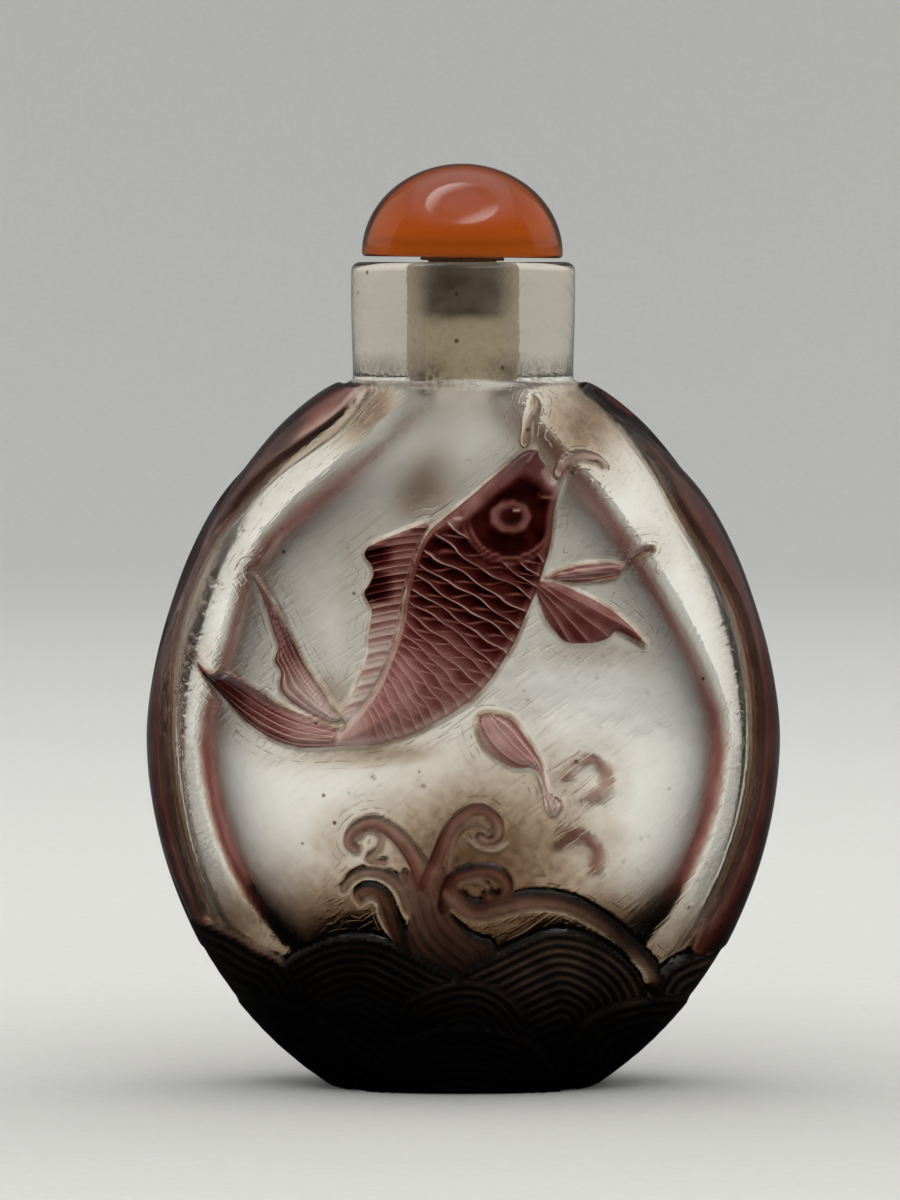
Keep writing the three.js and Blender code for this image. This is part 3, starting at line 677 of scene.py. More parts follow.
def carve_head(carving, inside, s, side):
    """The head: a dark round cheek below the eye with two pale gill arcs, a paler brow along the back's edge, a
    pale snout, and an eye with a scalloped ring."""
    x, z = carving.x - EYE[0], carving.z - EYE[1]
    radius, angle = np.hypot(x, z), np.arctan2(z, x)
    on_carp = soft_step(inside, 0.2)
    head = np.maximum(soft_step(GILL_RADIUS - radius, 0.25), soft_step(s - 0.8, 0.03)) * on_carp
    brow = soft_step(1.3 - inside, 0.7) * (side > 0) * soft_step(carving.z - 42.2, 0.6)
    cheek_edge = soft_step(0.65 - inside, 0.5) * (side < 0)
    tone = 1.15 + 0.25 * soft_step(CHEEK_RADIUS - radius, 0.3)
    tone = tone * (1 - 0.5 * cheek_edge) * (1 - 0.6 * soft_step(s - 0.94, 0.05))
    carving.shade(head, tone)
    carving.shade(brow * on_carp, 0.6, 0.1)
    low = between(angle, -2.95, -0.35, 0.3)
    for arc, pale in ((3.05, 0.62), (GILL_RADIUS, 0.7)):
        carving.shade(soft_step(0.13 - np.abs(radius - arc), 0.14) * low * on_carp, pale, 0.08)
    mouth = follow(smooth_path([(5.5, 44.75), (6.4, 44.6), (7.2, 44.5)]), carving.x, carving.z)[0]
    carving.shade(soft_step(0.12 - mouth, 0.12), 0.45, -0.1)
    oval = np.hypot(x / EYE_RADII[0], z / EYE_RADII[1])
    rim = 1 + 0.03 * np.cos(9 * angle)
    carving.shade(soft_step(rim - oval, 0.22), 0.62, 0.05)
    carving.shade(between(oval, 0.7, rim, 0.35), 0.54)
    carving.shade(soft_step(1 - np.hypot((x - 0.05) / 0.8, (z - 0.05) / 0.62), 0.6), 1.2, 0.1)
    # Painted highlight: a small thin spot of casing stands in for a glint on the pupil.
    carving.shade(soft_step(1 - np.hypot((x - 0.42) / 0.3, (z - 0.45) / 0.2), 0.5), 0.2)


def carve_surf(carving):
    """The surf: a ribbed stem that parts into curling ribbons."""
    inside = within(smooth_loop(STEM), carving.x, carving.z)
    gap, place, side = follow(smooth_path(STEM_SPINE), carving.x, carving.z)
    phase = side * gap / 0.75
    ribbed = 0.45 + 0.1 * np.cos(2 * math.pi * phase)
    carving.lay(inside, ribbed, 0.36, (phase, phase, 0.35), grime_and_shade=0.6, matt=0.65)
    carve_ribbons(carving, SURF, 0.25)


def sea_colour(z):
    """The sea is nearly black low down and thinner, so redder, at its upper edge."""
    return np.interp(z, [0, 4, 8, 12], [2.4, 2.0, 1.45, 1.1])


def carve_sea(carving):
    """The sea: swells laid over each other from far to near. Each fills the space below its crest, and its
    ridges keep an even spacing from the crest."""
    x, z = carving.x, carving.z
    carving.lay(np.clip(SEA_LEVEL - z, -FAR, FAR), 0.6, sea_colour(z))
    carving.sea = np.clip(SEA_LEVEL - z, -FAR, FAR)
    for crest, height, tone, ribbed in SWELLS:
        path = smooth_path(crest)
        skirt = [(path[-1, 0], SEA_FLOOR), (path[0, 0], SEA_FLOOR), tuple(path[0])]
        inside = within(np.vstack([path, skirt]), x, z)
        gap = follow(path, x, z)[0]
        phase = gap / RIDGE_GAP + 0.02 * np.sin(1.3 * x)
        ridge = 0.5 + 0.5 * np.cos(2 * math.pi * phase)
        lip = soft_step(0.5 - gap, 0.5)
        inside = np.where(inside > 0, gap, np.maximum(-gap, -FAR))
        carving.sea = np.maximum(carving.sea, inside)
        colour = sea_colour(z) * tone * (1 - 0.35 * lip)
        raised = height - 0.3 + (0.17 * ridge + 0.1 * lip) * (1 - 0.9 * soft_step(carving.sideways() - 0.86, 0.2))
        carving.lay(inside, raised, colour, (phase, phase, ribbed), grime_and_shade=0.3, matt=0.7)
    above = np.clip(1 + np.minimum(carving.sea, 0) / FAR, 0, 1)
    carving.grime_and_shade = np.maximum(carving.grime_and_shade, 0.5 * above**1.5)


def carve_side_panels(carving, casing):
    """Outside the window the casing stands at its full height, rising from a shallow groove, and its colour
    thickens away from the window, faster low down. A dark band of painted shade lies in the groove."""
    outside = -within(smooth_loop(WINDOW), carving.x, carving.z)
    reach = np.interp(carving.z, [30, 46], [1.9, 3.0])
    tone = 0.2 + 0.95 * np.clip(outside / reach, 0, 1) ** 1.15
    rise = casing * (0.4 * soft_step(outside - 0.1, 0.5) + 0.6 * soft_step(outside - 0.9, 1.8))
    carving.lay(outside, rise, tone, grime_and_shade=0.04, matt=0.12)
    carving.height -= 0.26 * np.exp(-(((outside + 0.35) / 0.32) ** 2))
    # Painted shade: a dark band along the groove, carried with the dirt.
    carving.grime_and_shade = np.maximum(carving.grime_and_shade, 0.4 * np.exp(-(((outside + 0.2) / 0.4) ** 2)))


def thrown(x, y, z):
    """Where a point on the face is seen from the camera on the plane through the bottle's axis, since that is
    the plane the motifs are drawn on."""
    scale = CAMERA[1] / (CAMERA[1] - y)
    return CAMERA[0] + (x - CAMERA[0]) * scale, CAMERA[2] + (z - CAMERA[2]) * scale


def carve_flask(x, y, z, casing):
    """Carves both faces. Returns the fields of the carving for every point."""
    fields = np.zeros((9, len(x)))
    front = y < 0
    face = Carving(*thrown(x[front], y[front], z[front]))
    carve_side_panels(face, casing)
    for patch in SOILED:
        face.soil(*patch)
    carve_carp(face)
    carve_surf(face)
    carve_sea(face)
    fields[:, front] = face.fields()
    back = Carving(-x[~front], z[~front])
    carve_side_panels(back, casing)
    for patch in BACK_SOILED:
        back.soil(*patch)
    carve_ribbons(back, BACK_SURF, 0.0)
    carve_sea(back)
    fields[:, ~front] = back.fields()
    return fields


# Meshes


def grid_faces(rows, columns):
    """Quads of a grid that closes round its columns: each corner is the next row's or the next column's."""
    index = np.arange(rows * columns).reshape(rows, columns)
    beside = np.roll(index, -1, axis=1)
    quads = np.stack([index[:-1], beside[:-1], beside[1:], index[1:]], -1)
    return quads.reshape(-1, 4)


def closed_mesh(name, points, face_material=None):
    """A closed mesh from a grid of points whose first and last rows are single poles. Each face of the grid
    may have its own material."""
    rows, columns = points.shape[:2]
    vertices = np.vstack([points[0, :1], points[1:-1].reshape(-1, 3), points[-1, :1]])
    quads = grid_faces(rows - 2, columns) + 1
    ring = np.arange(columns)
    after = np.roll(ring, -1)
    low = np.stack([np.zeros(columns, int), after + 1, ring + 1], 1)
    base = (rows - 3) * columns + 1
    high = np.stack([base + ring, base + after, np.full(columns, len(vertices) - 1)], 1)
    corners = np.concatenate([low.ravel(), quads.ravel(), high.ravel()])
    counts = np.concatenate([np.full(columns, 3), np.full(len(quads), 4), np.full(columns, 3)])
    mesh = bpy.data.meshes.new(name)
    mesh.vertices.add(len(vertices))
    mesh.vertices.foreach_set("co", (vertices * MM).astype(np.float32).ravel())
    mesh.loops.add(len(corners))
    mesh.loops.foreach_set("vertex_index", corners.astype(np.int32))
    mesh.polygons.add(len(counts))
    mesh.polygons.foreach_set("loop_start", (np.cumsum(counts) - counts).astype(np.int32))
    mesh.polygons.foreach_set("use_smooth", np.ones(len(counts), bool))
    if face_material is not None:
        mesh.polygons.foreach_set("material_index", face_material.astype(np.int32).ravel())
    mesh.update(calc_edges=True)
    mesh.validate()
    return mesh


def set_attribute(mesh, name, grid):
    """Writes one number or vector per vertex, taking a single value for each pole."""
    values = np.concatenate([grid[0, :1], grid[1:-1].reshape(-1, *grid.shape[2:]), grid[-1, :1]])
    kind, field = ("FLOAT", "value") if grid.ndim == 2 else ("FLOAT_VECTOR", "vector")
    attribute = mesh.attributes.new(name, kind, "POINT")
    attribute.data.foreach_set(field, values.astype(np.float32).ravel())


def show_piece(name, mesh, materials, node):
    """Puts a mesh into the scene as the piece that stands for a solid."""
    piece = bpy.data.objects.new(name, mesh)
    bpy.context.scene.collection.objects.link(piece)
    for material in materials:
        mesh.materials.append(material)
    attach(piece, "root")
    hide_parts(node)


# Materials


def add_node(tree, kind, inputs=None, **settings):
    """Adds a node, sets its fields, and links or fills its inputs."""
    node = tree.nodes.new(kind)
    for field, value in settings.items():
        setattr(node, field, value)
    for key, value in (inputs or {}).items():
        if isinstance(value, bpy.types.NodeSocket):
            tree.links.new(value, node.inputs[key])
        else:
            node.inputs[key].default_value = value
    return node


def sum_of(tree, operation, *values):
    """A math node's result."""
    return add_node(tree, "ShaderNodeMath", dict(enumerate(values)), operation=operation).outputs[0]


def ramp(tree, value, low, high, to_low=0.0, to_high=1.0):
    """Smooth step of a value from low to high."""
    numbers = {0: value, 1: low, 2: high, 3: to_low, 4: to_high}
    return add_node(tree, "ShaderNodeMapRange", numbers, interpolation_type="SMOOTHSTEP").outputs[0]


def noise(tree, place, scale, detail=1.5):
    return add_node(tree, "ShaderNodeTexNoise", {"Vector": place, "Scale": scale, "Detail": detail}).outputs["Fac"]


def object_place(tree):
    return tree.nodes.new("ShaderNodeTexCoord").outputs["Object"]


def height_of(tree, place):
    return add_node(tree, "ShaderNodeSeparateXYZ", {0: place}).outputs[2]


def tinted(tree, colour, tint, share, mode="MULTIPLY"):
    """Colour multiplied by a tint, or mixed into it, as far as share says."""
    inputs = {0: share, 6: colour, 7: tint}
    return add_node(tree, "ShaderNodeMix", inputs, data_type="RGBA", blend_type=mode).outputs[2]


def rgba(colour):
    return (*colour, 1.0)


def new_material(name):
    material = bpy.data.materials.new(name)
    material.use_nodes = True
    tree = material.node_tree
    return material, tree, tree.nodes["Principled BSDF"]


def new_group(name, inputs, outputs):
    """An empty shader node group with its sockets: (name, default) for inputs, (name, kind) for outputs."""
    tree = bpy.data.node_groups.new(name, "ShaderNodeTree")
    for label, default in inputs:
        socket = tree.interface.new_socket(label, in_out="INPUT", socket_type="NodeSocketFloat")
        socket.default_value = default
    for label, kind in outputs:
        tree.interface.new_socket(label, in_out="OUTPUT", socket_type=kind)
    return tree, tree.nodes.new("NodeGroupInput"), tree.nodes.new("NodeGroupOutput")


def grime_group():
    """Old dirt: fine noise breaks up a mask into crumbs, on top of a soft stain, and small dark specks lie
    anywhere. Puts out a stain from 0 to 1 and a height."""
    tree, given, result = new_group(
        "Old Grime",
        [("Mask", 0.0), ("Specks", 0.5)],
        [("Stain", "NodeSocketFloat"), ("Height", "NodeSocketFloat")],
    )
    place = object_place(tree)
    fine = noise(tree, place, 2400.0, 2.0)
    crumbs = ramp(tree, fine, 0.42, 0.62)
    patches = ramp(tree, noise(tree, place, 330.0), 0.3, 0.7)
    mask = given.outputs["Mask"]
    spread = sum_of(tree, "MULTIPLY", mask, sum_of(tree, "ADD", patches, 0.4))
    crumbled = sum_of(tree, "MULTIPLY", spread, sum_of(tree, "MULTIPLY_ADD", crumbs, 0.6, 0.5))
    dots = add_node(tree, "ShaderNodeTexVoronoi", {"Vector": place, "Scale": 620.0}).outputs["Distance"]
    rare = noise(tree, place, 260.0, 0.0)
    dot = sum_of(tree, "MULTIPLY", ramp(tree, dots, 0.15, 0.07), ramp(tree, rare, 0.55, 0.62))
    speck = sum_of(tree, "MULTIPLY", dot, given.outputs["Specks"])
    stain = sum_of(tree, "MINIMUM", sum_of(tree, "MAXIMUM", crumbled, speck), 1.0)
    tree.links.new(stain, result.inputs["Stain"])
    tree.links.new(sum_of(tree, "MULTIPLY", fine, mask), result.inputs["Height"])
    return tree


def shared_grime():
    """The node group for dirt, made the first time it is asked for."""
    return bpy.data.node_groups.get("Old Grime") or grime_group()


def grime_node(tree, mask, specks):
    """The dirt group's node, fed with a mask and a share of specks."""
    node = add_node(tree, "ShaderNodeGroup", node_tree=shared_grime())
    node.inputs["Specks"].default_value = specks
    if isinstance(mask, bpy.types.NodeSocket):
        tree.links.new(mask, node.inputs["Mask"])
    else:
        node.inputs["Mask"].default_value = mask
    return node


def fine_line(tree, phase, narrow):
    """A thin line wherever the phase passes a whole number. It is wider where narrow is smaller."""
    half = sum_of(tree, "SUBTRACT", sum_of(tree, "FRACT", phase), 0.5)
    return ramp(tree, sum_of(tree, "ABSOLUTE", half), narrow, 0.5)


def attribute(tree, name, output="Fac"):
    return add_node(tree, "ShaderNodeAttribute", attribute_name=name).outputs[output]


def absorbed(tree, thickness, density, film, film_density):
    """Colour of light through the casing and a film of dirt: the exponential of minus density times thickness
    to the power 1.3, and of minus the film's density times the film."""
    bent = sum_of(tree, "POWER", thickness, 1.3)
    channels = []
    for casing_share, film_share in zip(density, film_density):
        depth = sum_of(tree, "MULTIPLY_ADD", film, film_share, sum_of(tree, "MULTIPLY", bent, casing_share))
        channels.append(sum_of(tree, "EXPONENT", sum_of(tree, "MULTIPLY", depth, -1.0)))
    return add_node(tree, "ShaderNodeCombineColor", dict(enumerate(channels))).outputs[0]


def make_glass(glass):
    """Lets all light through, bent as by flint glass."""
    glass.inputs["Transmission Weight"].default_value = 1.0
    glass.inputs["IOR"].default_value = 1.5


def cased_glass(colours):
    """Outside of the flask: clear glass, coloured by the thickness of casing at each point, which is cut off
    at the motifs' edges and thinned along fine lines, with dirt, painted shade in grooves and tool marks in
    the carving round it."""
    material, tree, glass = new_material("Cased glass")
    place = object_place(tree)
    edge = attribute(tree, "edge")
    split = add_node(tree, "ShaderNodeSeparateXYZ", {0: attribute(tree, "lines", "Vector")})
    cloud = noise(tree, place, 430.0)
    narrow = ramp(tree, cloud, 0.3, 0.7, 0.44, 0.31)
    under = sum_of(tree, "FRACT", split.outputs[1])
    faint = sum_of(tree, "MULTIPLY", fine_line(tree, split.outputs[0], narrow), ramp(tree, under, 0.05, 0.6))
    bold = sum_of(tree, "MULTIPLY", fine_line(tree, split.outputs[1], narrow), 0.85)
    both = sum_of(tree, "MAXIMUM", faint, bold)
    wear_and_shade = sum_of(tree, "MULTIPLY", split.outputs[2], ramp(tree, cloud, 0.35, 0.55, 0.5, 1.0))
    lines = sum_of(tree, "MULTIPLY", both, wear_and_shade)
    overlap = sum_of(tree, "MULTIPLY", sum_of(tree, "SUBTRACT", under, 0.5), split.outputs[2])
    cut = ramp(tree, edge, -0.03, 0.16)
    uneven = ramp(tree, cloud, 0.3, 0.7, 0.82, 1.18)
    kept = sum_of(tree, "MULTIPLY_ADD", overlap, 0.75, sum_of(tree, "MULTIPLY_ADD", lines, -0.62, 1.0))
    thickness = sum_of(tree, "MULTIPLY", attribute(tree, "casing"), sum_of(tree, "MULTIPLY", cut, kept))
    thickness = sum_of(tree, "MULTIPLY", thickness, uneven)
    grazing = add_node(tree, "ShaderNodeLayerWeight", {"Blend": 0.5}).outputs["Facing"]
    longer = sum_of(tree, "MULTIPLY_ADD", sum_of(tree, "POWER", grazing, 3.0), 2.5, 1.0)
    thickness = sum_of(tree, "MULTIPLY", thickness, longer)
    crumbs = noise(tree, place, 1300.0, 0.0)
    rim = sum_of(tree, "MULTIPLY", ramp(tree, edge, -0.4, -0.12), ramp(tree, edge, 0.2, 0.02))
    near = sum_of(tree, "MULTIPLY", rim, ramp(tree, cloud, 0.38, 0.6, 0.12, 0.5))
    strokes = fine_line(tree, sum_of(tree, "DIVIDE", edge, 0.55), 0.38)
    marks = sum_of(tree, "MULTIPLY", strokes, ramp(tree, edge, -2.4, -0.6))
    broken = sum_of(tree, "MULTIPLY", ramp(tree, crumbs, 0.45, 0.55), ramp(tree, cloud, 0.42, 0.55))
    outside = sum_of(tree, "SUBTRACT", 1.0, cut)
    toolmarks = sum_of(tree, "MULTIPLY", sum_of(tree, "MULTIPLY", marks, broken), outside)
    neck_foot = ramp(tree, height_of(tree, place), 0.0563, 0.0541, 0.0, 0.58)
    foot = sum_of(tree, "MULTIPLY", neck_foot, ramp(tree, height_of(tree, place), 0.0525, 0.0536))
    # The dirt mask also carries painted shade from the grooves and the ribbons' edges.
    mask = sum_of(tree, "MULTIPLY", sum_of(tree, "MAXIMUM", attribute(tree, "grime_and_shade"), near), 0.35)
    turned = {"Vector": place, "Rotation": (0.0, -0.6, 0.0), "Scale": (14.0, 1.0, 1.0)}
    stretched = add_node(tree, "ShaderNodeMapping", turned, vector_type="TEXTURE").outputs[0]
    scratches = ramp(tree, noise(tree, stretched, 3600.0, 0.0), 0.55, 0.75)
    worked = sum_of(tree, "MULTIPLY", ramp(tree, edge, -3.1, -0.6, 0.12, 0.5), outside)
    scratches = sum_of(tree, "MULTIPLY", scratches, worked)
    mask = sum_of(tree, "MAXIMUM", mask, sum_of(tree, "MAXIMUM", foot, 0.03))
    soil = grime_node(tree, mask, 1.0)
    stain = sum_of(tree, "MAXIMUM", soil.outputs["Stain"], sum_of(tree, "MULTIPLY", toolmarks, 0.7))
    smear = sum_of(tree, "MAXIMUM", attribute(tree, "grime_and_shade"), near)
    film = sum_of(tree, "MULTIPLY", smear, ramp(tree, crumbs, 0.3, 0.7, 0.88, 1.06))
    film = sum_of(tree, "MULTIPLY_ADD", scratches, 0.15, film)
    film = sum_of(tree, "ADD", film, ramp(tree, edge, -3.1, -0.8, 0.0, 0.12))
    film = sum_of(tree, "ADD", film, ramp(tree, height_of(tree, place), 0.0535, 0.0545, 0.0, 0.1))
    colour = absorbed(tree, thickness, colours.casing_density, film, colours.film_density)
    base = tinted(tree, tinted(tree, colour, rgba(colours.clear_glass), 1.0), rgba(colours.grime_and_shade), stain)
    tree.links.new(base, glass.inputs["Base Color"])
    rough = sum_of(tree, "MULTIPLY_ADD", stain, 0.25, sum_of(tree, "ADD", attribute(tree, "matt"), 0.05))
    tree.links.new(rough, glass.inputs["Roughness"])
    relief = sum_of(tree, "MULTIPLY_ADD", lines, -0.5, soil.outputs["Height"])
    relief = sum_of(tree, "MULTIPLY_ADD", cloud, 0.3, relief)
    relief = sum_of(tree, "MULTIPLY_ADD", toolmarks, -0.4, relief)
    relief = sum_of(tree, "MULTIPLY_ADD", scratches, -0.5, relief)
    bump = add_node(tree, "ShaderNodeBump", {"Height": relief, "Strength": 0.4, "Distance": 0.15 * MM})
    tree.links.new(bump.outputs[0], glass.inputs["Normal"])
    make_glass(glass)
    glass.inputs["Specular Tint"].default_value = rgba((0.6, 0.6, 0.6))
    return material


def hollow_wall(colours):
    """Inside of the flask: slightly frosted glass with brown snuff left low in the hollow and in the bore."""
    material, tree, glass = new_material("Hollow wall")
    place = object_place(tree)
    height = height_of(tree, place)
    low = ramp(tree, height, 0.016, 0.008, 0.0, 0.3)
    high = ramp(tree, height, 0.048, 0.054, 0.0, 0.12)
    clouds = ramp(tree, noise(tree, place, 130.0), 0.5, 0.75, 0.0, 0.05)
    soil = grime_node(tree, sum_of(tree, "ADD", sum_of(tree, "MAXIMUM", low, high), clouds), 0.4)
    stain = soil.outputs["Stain"]
    film = sum_of(tree, "MAXIMUM", low, high)
    base = absorbed(tree, 0.0, colours.casing_density, film, colours.film_density)
    base = tinted(tree, base, rgba(colours.grime_and_shade), stain)
    deep = sum_of(tree, "ABSOLUTE", add_node(tree, "ShaderNodeSeparateXYZ", {0: place}).outputs[1])
    # Painted shade: a grey tint on the hollow's side edges, below its shoulder, darkens the ring seen there.
    rim = sum_of(tree, "MULTIPLY", ramp(tree, deep, 0.0055, 0.0016), ramp(tree, height, 0.049, 0.044))
    base = tinted(tree, base, rgba((0.25, 0.23, 0.24)), rim)
    tree.links.new(base, glass.inputs["Base Color"])
    frost = sum_of(tree, "MULTIPLY_ADD", rim, 0.14, ramp(tree, height, 0.040, 0.051, 0.11, 0.42))
    tree.links.new(sum_of(tree, "MULTIPLY_ADD", stain, 0.25, frost), glass.inputs["Roughness"])
    waves = sum_of(tree, "MULTIPLY_ADD", noise(tree, place, 900.0, 0.0), 0.2, noise(tree, place, 190.0, 0.0))
    bump = add_node(tree, "ShaderNodeBump", {"Height": waves, "Strength": 0.5, "Distance": 0.25 * MM})
    tree.links.new(bump.outputs[0], glass.inputs["Normal"])
    make_glass(glass)
    glass.inputs["Specular Tint"].default_value = rgba((0.5, 0.5, 0.5))
    return material


def coated_bore(colours):
    """Wall of the bore: old snuff on ground glass, darkened by painted shade of the cork as far down as the cork
    reaches.
    """
    material, tree, shader = new_material("Coated bore")
    place = object_place(tree)
    blotches = noise(tree, place, 500.0)
    height = sum_of(tree, "MULTIPLY_ADD", blotches, 0.0012, height_of(tree, place))
    # Painted shade of the cork: dark where the cork sits, less so near the lip, most in the middle of the bore,
    # broken by blotches.
    shade_by_height = ramp(tree, height, 0.0636, 0.0606, 0.6, 1.0)
    corked = sum_of(tree, "MULTIPLY", ramp(tree, height, 0.0584, 0.0597), shade_by_height)
    aside = sum_of(tree, "ABSOLUTE", add_node(tree, "ShaderNodeSeparateXYZ", {0: place}).outputs[0])
    corked = sum_of(tree, "MULTIPLY", corked, ramp(tree, aside, 0.0028, 0.0018, 0.15, 1.0))
    soil = grime_node(tree, 0.25, 0.8)
    wear_and_shade = sum_of(tree, "MULTIPLY", corked, ramp(tree, blotches, 0.3, 0.7, 1.0, 0.55))
    # Dark brown of the painted cork shade.
    base = tinted(tree, rgba(colours.snuff), rgba((0.12, 0.08, 0.035)), wear_and_shade, "MIX")
    base = tinted(tree, base, rgba((0.4, 0.33, 0.24)), soil.outputs["Stain"])
    tree.links.new(base, shader.inputs["Base Color"])
    shader.inputs["Roughness"].default_value = 0.7
    shader.inputs["Transmission Weight"].default_value = 0.6
    return material


def sea_glass(colours):
    """The sea: casing so thick that no light comes through it, dull, with brown dust and painted light on the upper
    ridges.
    """
    material, tree, shader = new_material("Sea glass")
    place = object_place(tree)
    split = add_node(tree, "ShaderNodeSeparateXYZ", {0: attribute(tree, "lines", "Vector")})
    ridge = fine_line(tree, split.outputs[0], 0.12)
    cloud = ramp(tree, noise(tree, place, 430.0), 0.3, 0.7, 0.5, 1.0)
    soil = grime_node(tree, 0.5, 1.0)
    where = add_node(tree, "ShaderNodeSeparateXYZ", {0: place})
    # Painted light with dust: lighter on the ridges, higher up and towards the right.
    upper = ramp(tree, where.outputs[2], 0.0045, 0.0125, 0.03, 1.0)
    redder = ramp(tree, where.outputs[0], -0.006, 0.006, 0.18, 1.0)
    lit = sum_of(tree, "MULTIPLY", sum_of(tree, "MULTIPLY", upper, redder), cloud)
    share = sum_of(tree, "MULTIPLY", lit, sum_of(tree, "MULTIPLY_ADD", ridge, 0.85, 0.1))
    base = tinted(tree, rgba((0.002, 0.001, 0.0008)), rgba(colours.sea), share, "MIX")
    base = tinted(tree, base, rgba((0.5, 0.4, 0.35)), soil.outputs["Stain"])
    tree.links.new(base, shader.inputs["Base Color"])
    tree.links.new(sum_of(tree, "MULTIPLY_ADD", soil.outputs["Stain"], 0.25, 0.4), shader.inputs["Roughness"])
    shader.inputs["Specular IOR Level"].default_value = 0.12
    relief = sum_of(tree, "MULTIPLY_ADD", ridge, 0.6, soil.outputs["Height"])
    bump = add_node(tree, "ShaderNodeBump", {"Height": relief, "Strength": 0.4, "Distance": 0.15 * MM})
    tree.links.new(bump.outputs[0], shader.inputs["Normal"])
    return material


def dome_glass(colours):
    """Orange glass with faint streaks and scuffs. Painted shade makes it darker and redder towards the top,
    and painted light makes a bright orange band low down.
    """
    material, tree, glass = new_material("Orange glass")
    place = object_place(tree)
    streaks = noise(tree, place, 160.0)
    # Painted shade: darker and redder towards the top.
    upper = ramp(tree, height_of(tree, place), 0.0635, 0.0695)
    share = sum_of(tree, "MULTIPLY", upper, sum_of(tree, "MULTIPLY_ADD", streaks, 0.5, 0.6))
    base = tinted(tree, rgba(colours.dome_glass), rgba((0.4, 0.36, 0.9)), share)
    # Painted light: a bright orange band low down, where light gathers in the dome.
    wavy = sum_of(tree, "MULTIPLY_ADD", streaks, 0.001, height_of(tree, place))
    lower = ramp(tree, wavy, 0.0645, 0.0632, 0.0, 0.5)
    base = tinted(tree, base, rgba((0.8, 0.24, 0.02)), lower, "MIX")
    tree.links.new(base, glass.inputs["Base Color"])
    scuffs = noise(tree, place, 900.0, 2.0)
    tree.links.new(sum_of(tree, "MULTIPLY_ADD", scuffs, 0.1, 0.05), glass.inputs["Roughness"])
    make_glass(glass)
    return material


def old_cork(colours):
    """Dark cork: brown noise with blacker pores and dust."""
    material, tree, shader = new_material("Old cork")
    place = object_place(tree)
    grain = noise(tree, place, 900.0, 5.0)
    pores = add_node(tree, "ShaderNodeTexVoronoi", {"Vector": place, "Scale": 1500.0}).outputs["Distance"]
    soil = grime_node(tree, 0.6, 1.0)
    dark = tinted(tree, rgba(colours.cork), rgba((0.3, 0.25, 0.2)), ramp(tree, pores, 0.3, 0.1))
    dusty = sum_of(tree, "MULTIPLY", grain, soil.outputs["Stain"])
    tree.links.new(tinted(tree, dark, rgba((0.2, 0.13, 0.08)), dusty, "MIX"), shader.inputs["Base Color"])
    shader.inputs["Roughness"].default_value = 0.85
    bump = add_node(tree, "ShaderNodeBump", {"Height": grain, "Strength": 0.6, "Distance": 0.2 * MM})
    tree.links.new(bump.outputs[0], shader.inputs["Normal"])
    return material


# Operators


class SNUFF_OT_flask(bpy.types.Operator):
    """Builds the carved, hollow flask"""

    bl_idname = "snuff.flask"
    bl_label = "Flask"

    def execute(self, context):
        sizes, colours = context.scene.snuff_sizes, context.scene.snuff_colours
        rows = flask_rows(sizes)
        angle = flask_columns(sizes)
        z, width, depth, power, lift, zone = (rows[:, k, None] for k in range(6))
        x, y = section(angle[None, :], width, depth, power)
        fuller = LEFT_SHOULDER * np.exp(-(((z - 41.5) / 6.0) ** 2)) * (zone == INSIDE)
        x = np.where(x < 0, x * (1 + fuller), x)
        base = np.stack([x, y, np.broadcast_to(z, x.shape)], -1)
        along = np.roll(base, -1, 1) - np.roll(base, 1, 1)
        out = np.cross(along, np.gradient(base, axis=0))
        level = np.broadcast_to((z < 0.6) | (lift < 1.0), x.shape)
        out[..., 2] = np.where(level, 0.0, out[..., 2])
        out /= np.maximum(np.linalg.norm(out, axis=-1, keepdims=True), 1e-9)
        carved = np.broadcast_to(lift > 0, x.shape)
        fields = np.zeros((9, *x.shape))
        fields[[4, 8]] = -FAR
        fields[:, carved] = carve_flask(*base[carved].T, sizes.casing / MM)
        points = base + out * (fields[0] * lift)[..., None]
        points[..., 2] = np.maximum(points[..., 2], 0.0)
        band = np.minimum(zone[:-1], zone[1:])
        sea = np.minimum(fields[8], np.roll(fields[8], -1, 1))
        mesh = closed_mesh("flask_glass", points, np.where(np.minimum(sea[:-1], sea[1:]) > 0.0, SEA, band))
        for name, field in zip(("casing", "grime_and_shade", "matt", "edge"), fields[1:5]):
            set_attribute(mesh, name, field)
        set_attribute(mesh, "lines", np.moveaxis(fields[5:8], 0, -1))
        materials = [cased_glass(colours), hollow_wall(colours), coated_bore(colours), sea_glass(colours)]
        show_piece("flask", mesh, materials, "bottle")
        return {"FINISHED"}


def leaning(points):
    """Turns points about Y by the stopper's lean and sets them on the lip."""
    x, y, z = points[..., 0], points[..., 1], points[..., 2]
    turned_x = x * math.cos(STOPPER_LEAN) + z * math.sin(STOPPER_LEAN) + STOPPER_SHIFT
    turned_z = z * math.cos(STOPPER_LEAN) - x * math.sin(STOPPER_LEAN)
    return np.stack([turned_x, y, turned_z + STOPPER_FOOT], -1)


def turned_points(radius, z, columns):
    """A round piece: each row of the profile carried round the axis."""
    angle = np.arange(columns) * 2 * math.pi / columns
    x = radius[:, None] * np.cos(angle)
    y = radius[:, None] * np.sin(angle)
    return np.stack([x, y, np.broadcast_to(z[:, None], x.shape)], -1)


